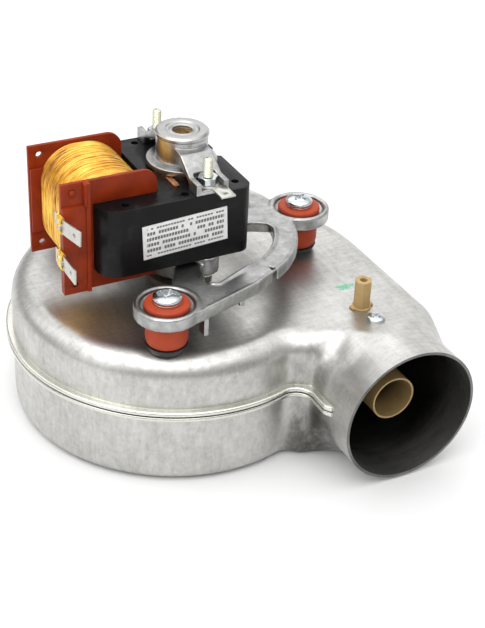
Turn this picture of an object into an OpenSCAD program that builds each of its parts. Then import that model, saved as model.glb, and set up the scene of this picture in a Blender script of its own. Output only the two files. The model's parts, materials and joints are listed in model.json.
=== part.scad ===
// Boiler flue-gas extractor fan.
// Scroll casing with a round side outlet, C-frame shaded-pole motor on three
// rubber isolators, impeller on the motor shaft, pressure take-off at the outlet.
// Frame: +Z up along the motor shaft, origin at the inlet mouth in the casing
// bottom, outlet facing -Y.

/* [Casing] */
// Height of the casing from the bottom to the flat top
casing_h = 58; // [56:1:60]
// Sheet thickness of both casing halves
sheet_t = 1.2; // [1:0.1:1.4]
// Height of the joint between the two halves
seam_z = 34; // [32:1:36]
// Distance from the shaft to the front wall
reach_front = 67.5; // [66.5:0.5:68.5]
// Distance from the shaft to the left wall
reach_left = 70.5; // [69.5:0.5:71.5]
// Distance from the shaft to the back wall
reach_back = 77.7; // [76:0.1:80]
// Distance from the shaft to the right wall
reach_right = 88; // [87:0.5:89]
// Radius of the front left scroll arc
front_arc_r = 68.5; // [68:0.5:70]
// Rounding of the shoulder between wall and flat top
shoulder_r = 10; // [8:1:11]
// Rounding between wall and bottom
heel_r = 5; // [4:1:7]
// How far the joint rim stands out from the wall
rim_w = 3; // [2:0.5:4]
// Diameter of the inlet mouth in the bottom
inlet_d = 72; // [66:1:74]

/* [Outlet] */
// Outer diameter of the outlet neck
outlet_d = 60; // [60:1:60]
// Height of the outlet centre line
outlet_z = 31; // [31:1:31]
// Distance from the shaft to the outlet mouth
outlet_reach = 97.5; // [94:0.5:104]
// Outer diameter of the pick-up tube
tube_d = 19.4; // [18:0.2:20]
// Distance from the shaft to the mouth of the pick-up tube
tube_reach = 84; // [82:1:88]
// Height of the pressure nipple above the casing
nipple_h = 13; // [12:0.5:18]

/* [Motor] */
// Distance between the outer faces of the two frame legs
frame_w = 58; // [58:1:60]
// Bottom of the lamination stack
stack_z0 = 81; // [81:1:82]
// Height of the lamination stack
stack_h = 29; // [29:1:29]
// Bore of the stator
bore_d = 25.2; // [25.2:0.1:25.6]
// Diameter of the rotor
rotor_d = 24.4; // [24:0.1:24.5]
// Shaft diameter
shaft_d = 6; // [6:1:6]
// Width of the coil bobbin along the frame legs
bobbin_w = 40; // [38:1:40]
// Height of the coil bobbin flanges
bobbin_h = 47.6; // [46:0.2:48]

/* [Mounting] */
// Radius of the circle through the three isolators
feet_r = 57; // [56.5:0.5:57.5]
// Outer diameter of the isolator bush
bush_d = 17.2; // [16:0.2:18]
// Top face of the lower motor bracket
bracket_z1 = 78.5; // [78.5:0.5:78.5]
// Thickness of the lower motor bracket
bracket_t = 5; // [5:0.5:5]

/* [Impeller] */
// Outer diameter of the impeller
wheel_d = 116; // [110:1:120]
// Number of impeller blades
blade_n = 24; // [16:1:28]
// Top face of the impeller back plate
plate_z1 = 49.2; // [48:0.2:50]
// Underside of the impeller shroud ring
shroud_z0 = 12; // [11.5:0.5:14]

/* [View] */
// Sub-part to show

/* [Hidden] */
$fn = 64;
eps = 0.01;

// scroll arcs: front left, back left, back right, and the lead-in to the tongue
arc_a_x = front_arc_r - reach_left;
arc_a_y = front_arc_r - reach_front;
arc_b_r = reach_back - arc_a_y;
arc_b_x = arc_b_r - reach_left;
arc_c_r = reach_right - arc_b_x;
arc_c_y = reach_back - arc_c_r;
lead_r = 60;
lead_y = lead_r - reach_front;
neck_x = reach_right - outlet_d / 2;
neck_left = neck_x - outlet_d / 2;
tongue_r = 10;
tongue_x = neck_left - tongue_r;
tongue_bite = 0.25;
tongue_dx = tongue_x - arc_a_x;
tongue_y = lead_y - sqrt(pow(lead_r + tongue_r - tongue_bite, 2) - pow(tongue_dx, 2));
tongue_a = atan2(tongue_y - lead_y, tongue_dx);
join_y = lead_y - 32;
join_x = arc_a_x + (lead_y - join_y) / tan(-tongue_a);
mid_x = neck_x;
left_end = -80;
left_r0 = 41;
left_r1 = 29.5;
trim_y = -63;
trim_r = 27;
trim_fillet = 14;
duct_end = -78.5;
cone_y0 = -70;
cone_y1 = -80.5;
cone_r0 = 26.4;
rim_h = 2.6;
rim_end_y = -78;
top_in = casing_h - sheet_t;

// inlet lip
lip_r = 6;
lip_top = 9.5;
shaft_hole_r = 9;

// pressure take-off
tap_y = -54;
tap_screw_y = -65.5;
tap_hole_r = 2.5;
tap_screw_hole_r = 1.6;
tube_back = -46;
tube_wall = 0.8;
throat_r = 6;
nipple_af = 7;
nipple_bore_r = 1.5;

// isolators
feet_a = [0, 120, 240];
seat_h = 3;
seat_r0 = 7;
seat_r1 = 8.4;
pillar_r = 4;
neck_r = 6.6;
lug_r = 13.2;
lug_hole_r = 6.7;
lug_recess_r = 10.8;
flange_r = 9.1;
flange_h = 2.5;
bracket_z0 = bracket_z1 - bracket_t;
recess_z = bracket_z1 - 1.5;
bush_z0 = casing_h + seat_h;
bush_z1 = recess_z + flange_h;
foot_washer_h = 0.6;
foot_screw_r = 2;
foot_head_r = 5.8;
foot_head_h = 3;
foot_screw_z0 = 66;

// bracket
ring_r0 = 39.2;
ring_r1 = 49.5;
band_a = 62;
hub_r = 13;
hub_z0 = 62;
bolt_y = 24.3;
bolt_boss_r = 5.5;
bolt_r = 1.9;
bolt_hole_r = 2;

// stack
stack_z1 = stack_z0 + stack_h;
leg_t = 10.3;
leg_in = frame_w / 2 - leg_t;
frame_x0 = -46;
frame_x1 = 18.2;
window_x1 = -18.5;
bar_x1 = -32;
rivet_hole_r = 1.6;
shade_r = 1.25;
shade_h = 0.8;
shade_at = 10.5;
shade_out = 17.5;

// coil
bobbin_x0 = -59.2;
bobbin_x1 = bobbin_x0 + bobbin_w;
bobbin_zc = stack_z0 + stack_h / 2 + 1;
bobbin_z0 = bobbin_zc - bobbin_h / 2;
bobbin_y = leg_in - 0.1;
cheek_t = 1.6;
bobbin_gap = 0.1;
former_t = 1.3;
coil_r = 15;
coil_in = 1.2;
coil_in_left = 4.4;
blade_tip_y = -33.5;
blade_root_y = -13.5;
blade_bend_y = -21;
blade_bend = 12;
panel_t = 1.6;
pocket_h = 9.6;
blade_w = 6.3;
blade_t = 0.8;
blade_x = bobbin_x0 - blade_t;
blade_zc = [104.3, 88.4];

// top bridge and bearings
boss_r = 14.5;
boss_z0 = 111;
boss_z1 = 113.3;
cup_r = 10.5;
cup_wall = 1.3;
cup_z1 = 123.6;
cap_r = 11;
cap_z1 = 125.7;
cap_hole_r = 4;
arm_w = 14;
foot_z = 112;
bearing_in_r = shaft_d / 2 + 0.04;
top_bearing_r = 6;
top_bearing_z0 = 114;
low_bearing_r = 7;
low_bearing_z0 = 64;
low_bearing_z1 = 76;
nut_af = 7;
nut_h = 3.2;
bolt_top = 123.5;

// rotor
shaft_r = shaft_d / 2;
shaft_z0 = 31;
shaft_z1 = 121.5;
rotor_z0 = stack_z0 + 1;
rotor_z1 = stack_z1 - 1;
cage_h = 1.4;
washer_h = 1;

// impeller
wheel_r = wheel_d / 2;
plate_t = 1.2;
plate_z0 = plate_z1 - plate_t;
shroud_t = 1;
shroud_z1 = shroud_z0 + shroud_t;
shroud_in = 38.5;
blade_in = 40;
blade_out = wheel_r - 1;
blade_arc = 26;
blade_turn = 24;
hub2_r = 9;
hub2_flange_r = 15;
hub2_z0 = 40;
hub2_z1 = plate_z1 + 2;
hub_rivet_at = 12;
wheel_nut_h = 5;
wheel_nut_af = 10;

// ---- casing helpers ----

// half section of a flat can: radius r, from z0 to z1, rounded low and high edge
module can_profile(r, z0, z1, rb, rt) {
    translate([0, z0]) square([r - rt, z1 - z0]);
    translate([0, z0]) square([r - rb, z1 - z0 - rt]);
    translate([0, z0 + rb]) square([r, z1 - z0 - rb - rt]);
    translate([r - rt, z1 - rt]) circle(rt);
    translate([r - rb, z0 + rb]) circle(rb);
}

module can_arc(x, y, r, a, sweep, in) {
    translate([x, y, 0]) rotate([0, 0, a]) rotate_extrude(angle = sweep)
        can_profile(r - in, in, casing_h - in, heel_r - in, shoulder_r - in);
}

// space outside the concave tongue wall, turned about the tongue centre
module tongue_cutter(in) {
    r = tongue_r + in;
    rt = shoulder_r - in;
    rb = heel_r - in;
    z0 = in;
    z1 = casing_h - in;
    translate([tongue_x, tongue_y, 0]) rotate_extrude() {
        translate([0, z0 - 1]) square([r, z1 - z0 + 2]);
        difference() {
            translate([r - eps, z1 - rt]) square([rt + eps, rt + 1]);
            translate([r + rt, z1 - rt]) circle(rt);
        }
        difference() {
            translate([r - eps, z0 - 1]) square([rb + eps, rb + 1]);
            translate([r + rb, z0 + rb]) circle(rb);
        }
    }
}

// straight channel along the right wall, cut square at the neck
module duct(in) {
    translate([mid_x, arc_c_y, 0]) rotate([90, 0, 0]) linear_extrude(arc_c_y - duct_end)
        can_profile(reach_right - mid_x - in, in, casing_h - in, heel_r - in, shoulder_r - in);
}

// left side of the channel, from the tongue to the neck
module duct_left(in) {
    translate([mid_x, tongue_y, 0]) rotate([90, 0, 0]) linear_extrude(tongue_y - left_end)
        mirror([1, 0]) can_profile(mid_x - neck_left - in, in, casing_h - in,
            heel_r - in, shoulder_r - in);
}

// lead-in arc and the block that joins it to the channel, cut by the tongue
module tongue_block(in) {
    difference() {
        union() {
            can_arc(arc_a_x, lead_y, lead_r, 270, 90, in);
            translate([0, 0, in]) linear_extrude(casing_h - 2 * in)
                polygon([[join_x, join_y], [tongue_x, tongue_y], [mid_x, tongue_y],
                    [mid_x, join_y]]);
        }
        tongue_cutter(in);
    }
}

// flat space between the arcs, the channel and the tongue block
module core_block(in) {
    translate([0, 0, in]) linear_extrude(casing_h - 2 * in)
        polygon([[arc_a_x, arc_a_y], [arc_a_x, join_y], [mid_x, join_y],
            [mid_x, arc_c_y], [arc_b_x, arc_c_y], [arc_b_x, arc_a_y]]);
}

// rounds the right side of the channel down to the neck diameter
module neck_trim(in) {
    translate([mid_x - eps, trim_y, -5]) cube([100, 100, casing_h + 15]);
    translate([neck_x, trim_y, outlet_z]) rotate([90, 0, 0]) rotate_extrude() {
        square([trim_r, trim_y - duct_end]);
        intersection() {
            translate([trim_r, 0]) circle(trim_fillet - in);
            square([trim_r + trim_fillet, trim_fillet]);
        }
    }
}

// cone that tapers the left side of the channel to the neck
module left_trim(in) {
    translate([neck_x, tongue_y, outlet_z]) rotate([90, 0, 0])
        cylinder(h = tongue_y - left_end, r1 = left_r0 - 2.4 * in, r2 = left_r1 - 2.4 * in);
}

module neck(in, extra) {
    translate([neck_x, cone_y0, outlet_z]) rotate([90, 0, 0])
        cylinder(h = cone_y0 - cone_y1, r1 = cone_r0 - in, r2 = outlet_d / 2 - in);
    translate([neck_x, cone_y1, outlet_z]) rotate([90, 0, 0])
        cylinder(h = outlet_reach + cone_y1 + extra, r = outlet_d / 2 - in);
}

module scroll_solid(in, extra) {
    can_arc(arc_a_x, arc_a_y, front_arc_r, 180, 90, in);
    can_arc(arc_b_x, arc_a_y, arc_b_r, 90, 90, in);
    can_arc(arc_b_x, arc_c_y, arc_c_r, 0, 90, in);
    core_block(in);
    tongue_block(in);
    intersection() {
        duct(in);
        neck_trim(in);
    }
    intersection() {
        duct_left(in);
        left_trim(in);
    }
    neck(in, extra);
}

module casing_wall() {
    difference() {
        scroll_solid(0, 0);
        scroll_solid(sheet_t, 1);
    }
}

// rolled rim section, r0 is the wall radius, up to +rim_w
module rim_profile(r0, z0) {
    translate([r0 - sheet_t / 2, z0]) square([rim_w - rim_h / 2 + sheet_t / 2, rim_h]);
    translate([r0 + rim_w - rim_h / 2, z0 + rim_h / 2]) circle(rim_h / 2);
}

module rim_arc(x, y, r, a, sweep, z0) {
    translate([x, y, 0]) rotate([0, 0, a]) rotate_extrude(angle = sweep) rim_profile(r, z0);
}

module rim(z0) {
    rim_arc(arc_a_x, arc_a_y, front_arc_r, 180, 90, z0);
    rim_arc(arc_b_x, arc_a_y, arc_b_r, 90, 90, z0);
    rim_arc(arc_b_x, arc_c_y, arc_c_r, 0, 90, z0);
    rim_arc(arc_a_x, lead_y, lead_r, 270, 90 + tongue_a, z0);
    translate([reach_right, arc_c_y, 0]) rotate([90, 0, 0])
        linear_extrude(arc_c_y - trim_y) rim_profile(0, z0);
    translate([tongue_x, tongue_y, 0]) rotate_extrude_from_to(z0);
    translate([neck_left, tongue_y, 0]) rotate([90, 0, 0])
        linear_extrude(tongue_y - rim_end_y) mirror([1, 0]) rim_profile(0, z0);
}

// rim around the concave tongue
module rotate_extrude_from_to(z0) {
    rotate([0, 0, 0]) rotate_extrude(angle = 180 + tongue_a) {
        translate([tongue_r - rim_w + rim_h / 2, z0]) square([rim_w - rim_h / 2 + sheet_t / 2, rim_h]);
        translate([tongue_r - rim_w + rim_h / 2, z0 + rim_h / 2]) circle(rim_h / 2);
    }
}

// inner space that must stay free of the rim stubs
module seam_cut(z0, z1) {
    translate([-200, -200, z0]) cube([400, 400, z1 - z0]);
}

// ---- casing ----

module upper_shell() {
    color([0.78, 0.78, 0.76]) difference() {
        union() {
            intersection() {
                casing_wall();
                seam_cut(seam_z, casing_h + 10);
            }
            rim(seam_z);
        }
        cylinder(h = 2 * casing_h, r = shaft_hole_r);
        translate([neck_x, tap_y, seam_z]) cylinder(h = casing_h, r = tap_hole_r);
        translate([neck_x, tap_screw_y, seam_z]) cylinder(h = casing_h, r = tap_screw_hole_r);
    }
}

module lower_shell() {
    color([0.76, 0.76, 0.74]) {
        difference() {
            union() {
                intersection() {
                    casing_wall();
                    seam_cut(-10, seam_z);
                }
                rim(seam_z - rim_h);
            }
            translate([0, 0, -1]) cylinder(h = 10, r = inlet_d / 2 + lip_r);
        }
        rotate_extrude() inlet_profile();
    }
}

// sheet turned in and up around the inlet mouth
module inlet_profile() {
    r = inlet_d / 2;
    intersection() {
        translate([r + lip_r, lip_r]) difference() {
            circle(lip_r);
            circle(lip_r - sheet_t);
        }
        translate([r, 0]) square([lip_r, lip_r]);
    }
    translate([r, lip_r]) square([sheet_t, lip_top - lip_r]);
}

module shaft_seal() {
    color([0.25, 0.25, 0.26]) translate([0, 0, casing_h]) difference() {
        cylinder(h = 2.4, r = 14);
        translate([0, 0, -1]) cylinder(h = 5, r = shaft_r + 0.4);
    }
}

// ---- pressure take-off ----

module pickup_tube() {
    r = tube_d / 2;
    len = tube_reach + tube_back;
    color([0.78, 0.66, 0.44]) {
        difference() {
            union() {
                translate([neck_x, tube_back, outlet_z]) rotate([90, 0, 0]) rotate_extrude()
                    polygon([[throat_r, 0], [r, 0], [r, len], [r - tube_wall, len],
                        [throat_r, len - 18]]);
                translate([neck_x, tap_y, outlet_z + r - 2]) cylinder(h = top_in - outlet_z - r + 2, r = 5);
                translate([neck_x, tap_screw_y, outlet_z + r - 2])
                    cylinder(h = top_in - outlet_z - r + 2, r = 3.6);
                translate([neck_x - 1, tap_screw_y, outlet_z + r - 2])
                    cube([2, tap_y - tap_screw_y, top_in - outlet_z - r + 2]);
            }
            translate([neck_x, tube_back + 1, outlet_z]) rotate([90, 0, 0])
                cylinder(h = len - 17, r = throat_r);
            translate([neck_x, tap_y, outlet_z]) cylinder(h = casing_h, r = nipple_bore_r);
            translate([neck_x, tap_screw_y, 44]) cylinder(h = casing_h, r = 1.4);
        }
    }
}

module pressure_nipple() {
    hex_r = nipple_af / 2 / cos(30);
    color([0.80, 0.68, 0.46]) translate([neck_x, tap_y, 0]) difference() {
        union() {
            translate([0, 0, top_in]) cylinder(h = sheet_t + eps, r = tap_hole_r);
            translate([0, 0, casing_h]) cylinder(h = nipple_h, r = hex_r, $fn = 6);
            translate([-5, -1.5, casing_h]) cube([10, 3, 1]);
            translate([0, 0, casing_h]) cylinder(h = 1, r = 4.4);
        }
        translate([0, 0, top_in - 1]) cylinder(h = nipple_h + 10, r = nipple_bore_r);
    }
}

// pan head, underside on z = 0, with a cross recess
module pan_head(r, h, arm) {
    difference() {
        rotate_extrude() intersection() {
            union() {
                square([r, h * 0.45]);
                translate([0, h * 0.45]) square([r - h * 0.55, h * 0.55]);
                translate([r - h * 0.55, h * 0.45]) circle(h * 0.55);
            }
            square([r, h]);
        }
        translate([-arm, -0.5, h * 0.4]) cube([2 * arm, 1, h]);
        translate([-0.5, -arm, h * 0.4]) cube([1, 2 * arm, h]);
    }
}

module nipple_screw() {
    color([0.80, 0.82, 0.82]) translate([neck_x, tap_screw_y, casing_h]) {
        pan_head(3.8, 2.6, 2);
        translate([0, 0, -12]) cylinder(h = 12 + eps, r = 1.4);
    }
}

// ---- isolators ----

module at_feet() {
    for (a = feet_a) rotate([0, 0, a]) translate([feet_r, 0, 0]) children();
}

module mount_seats() {
    color([0.10, 0.10, 0.10]) at_feet() difference() {
        union() {
            translate([0, 0, casing_h]) cylinder(h = seat_h, r1 = seat_r0, r2 = seat_r1);
            translate([0, 0, casing_h]) cylinder(h = bush_z1 - casing_h, r = pillar_r);
        }
        translate([0, 0, foot_screw_z0 - 1]) cylinder(h = 40, r = foot_screw_r);
    }
}

module bush_profile() {
    b = 2.5;
    f = flange_h / 2;
    r = bush_d / 2;
    translate([pillar_r, bush_z0]) square([r - b - pillar_r, bracket_z0 - bush_z0]);
    translate([pillar_r, bush_z0 + b]) square([r - pillar_r, bracket_z0 - bush_z0 - b]);
    intersection() {
        translate([r - b, bush_z0 + b]) circle(b);
        translate([pillar_r, bush_z0]) square([r, b]);
    }
    translate([pillar_r, bracket_z0 - eps]) square([neck_r - pillar_r, recess_z - bracket_z0 + 2 * eps]);
    translate([pillar_r, recess_z]) square([flange_r - f - pillar_r, flange_h]);
    translate([flange_r - f, recess_z + f]) circle(f);
}

module bush(a) {
    color([0.80, 0.30, 0.14]) rotate([0, 0, a]) translate([feet_r, 0, 0])
        rotate_extrude() bush_profile();
}

module bush_right() {
    bush(feet_a[0]);
}

module bush_back() {
    bush(feet_a[1]);
}

module bush_front() {
    bush(feet_a[2]);
}

module foot_washers() {
    color([0.55, 0.55, 0.55]) at_feet() translate([0, 0, bush_z1]) difference() {
        cylinder(h = foot_washer_h, r = 5.6);
        translate([0, 0, -1]) cylinder(h = 3, r = foot_screw_r);
    }
}

module foot_screws() {
    color([0.82, 0.84, 0.85]) at_feet() {
        translate([0, 0, bush_z1 + foot_washer_h]) pan_head(foot_head_r, foot_head_h, 2.8);
        translate([0, 0, foot_screw_z0])
            cylinder(h = bush_z1 + foot_washer_h - foot_screw_z0 + eps, r = foot_screw_r);
    }
}

// ---- lower bracket ----

module motor_bracket() {
    color([0.74, 0.74, 0.73]) difference() {
        union() {
            rotate([0, 0, -band_a]) rotate_extrude(angle = 2 * band_a)
                translate([ring_r0, bracket_z0]) square([ring_r1 - ring_r0, bracket_t]);
            at_feet() translate([0, 0, bracket_z0]) cylinder(h = bracket_t, r = lug_r);
            for (m = [0, 1]) mirror([0, m, 0]) {
                bracket_arm();
                translate([0, -bolt_y, bracket_z0])
                    cylinder(h = stack_z0 - bracket_z0, r = bolt_boss_r);
                bracket_fins();
            }
            bracket_middle_arm();
            translate([0, 0, hub_z0]) cylinder(h = bracket_z1 - hub_z0, r = hub_r);
        }
        at_feet() {
            translate([0, 0, bracket_z0 - 1]) cylinder(h = bracket_t + 2, r = lug_hole_r);
            translate([0, 0, recess_z]) cylinder(h = 5, r = lug_recess_r);
        }
        for (s = [-1, 1]) translate([0, s * bolt_y, hub_z0]) cylinder(h = 40, r = bolt_hole_r);
        translate([0, 0, hub_z0 - 1]) cylinder(h = 40, r = shaft_r + 1.5);
        translate([0, 0, low_bearing_z0]) cylinder(h = 40, r = low_bearing_r);
    }
}

// front arm from the hub to its lug, and the straight band from that lug onto the ring
module bracket_arm() {
    lx = feet_r * cos(240);
    ly = feet_r * sin(240);
    translate([0, 0, bracket_z0]) linear_extrude(bracket_t) polygon([
        [lx, ly - lug_r + 0.4], [lx + 10.5, ly - lug_r + 2.8], [11.4, -50.1], [20.5, -44.4],
        [20.5, -34.6], [8, -39.8], [-4, -45.4], [-7, -44.4], [-8, -41.4], [-4.6, -30],
        [5.2, -26], [5.2, -8], [-5.9, -10.4], [-21.9, -38.8], [lx + 4, ly + 8]]);
}

// arm from the hub towards the right-hand lug
module bracket_middle_arm() {
    w = 4.4;
    translate([0, 0, bracket_z0]) linear_extrude(bracket_t) polygon([
        [8, -w], [31, -w], [41, -w - 5], [41, w + 5], [31, w], [8, w]]);
}

// small ribs hanging under the band and the arm
module bracket_fins() {
    translate([-16, -57, bracket_z0 - 9]) cube([2, 5, 9 + eps]);
    translate([3, -50, bracket_z0 - 4]) cube([2, 6, 4 + eps]);
    translate([-9, -28, bracket_z0 - 4]) cube([2, 12, 4 + eps]);
}

module lower_bearing() {
    color([0.72, 0.55, 0.30]) translate([0, 0, low_bearing_z0]) difference() {
        cylinder(h = low_bearing_z1 - low_bearing_z0, r = low_bearing_r);
        translate([0, 0, -1]) cylinder(h = 40, r = bearing_in_r);
    }
}

// ---- stator ----

module stack_outline() {
    rl = 9;
    rr = 5;
    h = frame_w / 2;
    difference() {
        union() {
            translate([frame_x0 + rl, -h]) square([frame_x1 - rr - frame_x0 - rl, frame_w]);
            translate([frame_x0, -h + rl]) square([20, frame_w - 2 * rl]);
            translate([frame_x1 - 20, -h + rr]) square([20, frame_w - 2 * rr]);
            for (s = [-1, 1]) {
                translate([frame_x0 + rl, s * (h - rl)]) circle(rl);
                translate([frame_x1 - rr, s * (h - rr)]) circle(rr);
            }
        }
        translate([frame_x0 - 1, -leg_in]) square([window_x1 - frame_x0 + 1, 2 * leg_in]);
        circle(bore_d / 2);
        translate([window_x1 - 1, -1.6]) square([10, 3.2]);
        translate([frame_x1 + 1, 4.2]) circle(4);
        for (s = [-1, 1]) {
            translate([0, s * bolt_y]) circle(bolt_hole_r);
            translate([-35, s * 24]) circle(rivet_hole_r);
            translate([-10, s * 24.6]) circle(rivet_hole_r);
            translate([13, s * 22.4]) circle(rivet_hole_r);
            translate([s * shade_at, s * shade_at]) circle(shade_r);
            translate([s * shade_at, s * shade_out]) circle(shade_r);
        }
    }
}

module stack_frame() {
    color([0.07, 0.07, 0.08]) translate([0, 0, stack_z0]) linear_extrude(stack_h) stack_outline();
}

module core_bar() {
    color([0.35, 0.35, 0.37]) translate([frame_x0, -leg_in, stack_z0])
        cube([bar_x1 - frame_x0, 2 * leg_in, stack_h]);
}

// closed copper loops through the poles
module shading_rings() {
    z0 = stack_z0 - shade_h;
    len = stack_h + 2 * shade_h;
    color([0.72, 0.42, 0.22]) for (s = [-1, 1]) {
        for (y = [shade_at, shade_out]) translate([s * shade_at, s * y, z0])
            cylinder(h = len, r = shade_r);
        for (z = [z0, z0 + len - shade_h])
            translate([s * shade_at - shade_r, min(s * shade_at, s * shade_out), z])
                cube([2 * shade_r, shade_out - shade_at, shade_h]);
    }
}

module rating_label() {
    color([0.88, 0.89, 0.90]) translate([-11.5, -frame_w / 2, 95.2]) rotate([0, -3, 0])
        translate([-18.3, -0.25, -7.4]) cube([36.6, 0.25, 14.8]);
}

// ---- coil ----

module bobbin_cheek() {
    r = 6;
    difference() {
        union() {
            translate([bobbin_x0, bobbin_z0]) square([bobbin_w - r, bobbin_h]);
            translate([bobbin_x0, bobbin_z0]) square([bobbin_w, bobbin_h - r]);
            translate([bobbin_x1 - r, bobbin_z0 + bobbin_h - r]) circle(r);
        }
        bar_hole(0);
    }
}

module bar_hole(grow) {
    g = bobbin_gap + grow;
    translate([frame_x0 - g, stack_z0 - g]) square([bar_x1 - frame_x0 + 2 * g, stack_h + 2 * g]);
}

// turns an X-Z drawing into a plate from y0 to y0 + len
module xz_plate(y0, len) {
    translate([0, y0 + len, 0]) rotate([90, 0, 0]) linear_extrude(len) children();
}

module bobbin() {
    color([0.60, 0.17, 0.08]) difference() {
        union() {
            xz_plate(-bobbin_y, cheek_t) bobbin_cheek();
            xz_plate(bobbin_y - cheek_t, cheek_t) bobbin_cheek();
            xz_plate(-bobbin_y + eps, 2 * bobbin_y - 2 * eps) difference() {
                bar_hole(former_t);
                bar_hole(0);
            }
            translate([bobbin_x0, -bobbin_y - panel_t, bobbin_z0])
                cube([frame_x0 - 2 - bobbin_x0, panel_t + eps, bobbin_h - pocket_h]);
            translate([frame_x0 - 3.6, -bobbin_y - 2.4, bobbin_z0]) cube([1.6, 2.5, bobbin_h]);
        }
        for (s = [-1, 1]) for (z = [bobbin_z0 + 4, bobbin_z0 + bobbin_h - 4])
            translate([-54.6, s * bobbin_y, z]) rotate([90, 0, 0])
                cylinder(h = 8, r = 1.3, center = true);
    }
}

module winding() {
    x0 = bobbin_x0 + coil_in_left;
    x1 = bobbin_x1 - coil_in;
    z0 = bobbin_z0 + coil_in;
    z1 = bobbin_z0 + bobbin_h - coil_in;
    y = bobbin_y - cheek_t;
    color([0.85, 0.55, 0.15]) xz_plate(-y, 2 * y) difference() {
        union() {
            translate([x0 + coil_r, z0]) square([x1 - x0 - 2 * coil_r, z1 - z0]);
            translate([x0, z0 + coil_r]) square([x1 - x0, z1 - z0 - 2 * coil_r]);
            for (x = [x0 + coil_r, x1 - coil_r]) for (z = [z0 + coil_r, z1 - coil_r])
                translate([x, z]) circle(coil_r);
        }
        bar_hole(former_t);
    }
}

// flat blade beside the coil, bent by a few degrees where it leaves the cheek
module terminal(z, bend) {
    color([0.80, 0.80, 0.78]) translate([blade_x, 0, z - blade_w / 2]) {
        translate([0, blade_bend_y, 0]) cube([blade_t, blade_root_y - blade_bend_y, blade_w]);
        translate([0, blade_bend_y + eps, 0]) rotate([0, 0, bend]) difference() {
            translate([0, blade_tip_y - blade_bend_y, 0])
                cube([blade_t, blade_bend_y - blade_tip_y, blade_w]);
            translate([-1, blade_tip_y - blade_bend_y + 4, blade_w / 2])
                rotate([0, 90, 0]) cylinder(h = 3, r = 0.9);
        }
    }
}

module terminal_upper() {
    terminal(blade_zc[0], blade_bend);
}

module terminal_lower() {
    terminal(blade_zc[1], 0);
}

// ---- top bridge ----

// side view of one arm, y to the left, z up
module arm_profile() {
    polygon([[8, 118], [13, 116.5], [21, 113.2], [22, stack_z1], [frame_w / 2, stack_z1],
        [frame_w / 2, 115], [22, 115], [13.5, 120.8], [8, 121.5]]);
}

module top_bridge() {
    color([0.76, 0.76, 0.75]) difference() {
        union() {
            translate([0, 0, boss_z0]) cylinder(h = boss_z1 - boss_z0, r = boss_r);
            translate([0, 0, boss_z0]) cylinder(h = cup_z1 - boss_z0, r = cup_r);
            for (m = [0, 1]) mirror([0, m, 0]) difference() {
                translate([arm_w / 2, 0, 0]) rotate([0, -90, 0]) linear_extrude(arm_w)
                    mirror([0, 1]) rotate([0, 0, 90]) mirror([0, 1]) arm_profile();
                translate([-4.7, -frame_w, foot_z]) cube([9.4, frame_w - 20.5, 20]);
            }
        }
        translate([0, 0, boss_z0 - 1]) cylinder(h = 30, r = top_bearing_r);
        translate([0, 0, boss_z1 + 0.6]) cylinder(h = 30, r = cup_r - cup_wall);
        for (s = [-1, 1]) translate([0, s * bolt_y, stack_z1 - 1]) cylinder(h = 20, r = bolt_hole_r);
    }
}

// copper-coloured ring that centres the bridge on the stator bore
module bore_ring() {
    color([0.70, 0.42, 0.26]) sleeve(bore_d / 2, boss_r - 0.9, stack_z1, boss_z0);
}

module upper_bearing() {
    color([0.72, 0.55, 0.30]) translate([0, 0, top_bearing_z0]) difference() {
        cylinder(h = cup_z1 - top_bearing_z0, r = top_bearing_r);
        translate([0, 0, -1]) cylinder(h = 30, r = bearing_in_r);
    }
}

module oil_felt() {
    color([0.80, 0.76, 0.66]) translate([0, 0, boss_z1 + 0.6]) difference() {
        cylinder(h = 6.4, r = cup_r - cup_wall);
        translate([0, 0, -1]) cylinder(h = 10, r = top_bearing_r);
    }
}

module bearing_cap() {
    color([0.80, 0.80, 0.79]) difference() {
        union() {
            translate([0, 0, cup_z1]) cylinder(h = cap_z1 - cup_z1, r = cap_r);
            translate([0, 0, cup_z1 - 1.4]) cylinder(h = 1.5, r = cup_r - cup_wall);
        }
        translate([0, 0, cup_z1 - 2]) cylinder(h = 10, r = cap_hole_r);
        translate([0, 0, cup_z1 - 2]) cylinder(h = 2, r = top_bearing_r);
        translate([0, 0, cap_z1 - 0.5]) cylinder(h = 1, r = 6.2);
    }
}

module motor_bolts() {
    color([0.76, 0.76, 0.62]) for (s = [-1, 1]) translate([0, s * bolt_y, bracket_z0]) {
        cylinder(h = bolt_top - bracket_z0, r = bolt_r);
        rotate([180, 0, 0]) pan_head(3.6, 2.4, 2);
    }
}

module hex_nut(af, h, r) {
    difference() {
        cylinder(h = h, r = af / 2 / cos(30), $fn = 6);
        translate([0, 0, -1]) cylinder(h = h + 2, r = r);
    }
}

module bolt_nuts() {
    color([0.80, 0.81, 0.80]) {
        translate([0, -bolt_y, foot_z + blade_t]) hex_nut(nut_af, nut_h, bolt_r);
        translate([0, bolt_y, foot_z]) hex_nut(nut_af, nut_h, bolt_r);
    }
}

module earth_tab() {
    color([0.82, 0.80, 0.70]) translate([0, 0, foot_z]) linear_extrude(blade_t) difference() {
        union() {
            translate([0, -bolt_y]) circle(4.4);
            translate([-0.6, -frame_w / 2 - 1]) square([3.6, 7]);
            translate([-0.6, -37.6]) square([blade_w, 8.3]);
        }
        translate([0, -bolt_y]) circle(bolt_r);
        translate([2.55, -34.6]) circle(0.9);
    }
}

// ---- rotor ----

module shaft() {
    color([0.70, 0.71, 0.73]) translate([0, 0, shaft_z0]) cylinder(h = shaft_z1 - shaft_z0, r = shaft_r);
}

module sleeve(r0, r1, z0, z1) {
    translate([0, 0, z0]) difference() {
        cylinder(h = z1 - z0, r = r1);
        translate([0, 0, -1]) cylinder(h = z1 - z0 + 2, r = r0);
    }
}

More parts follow.
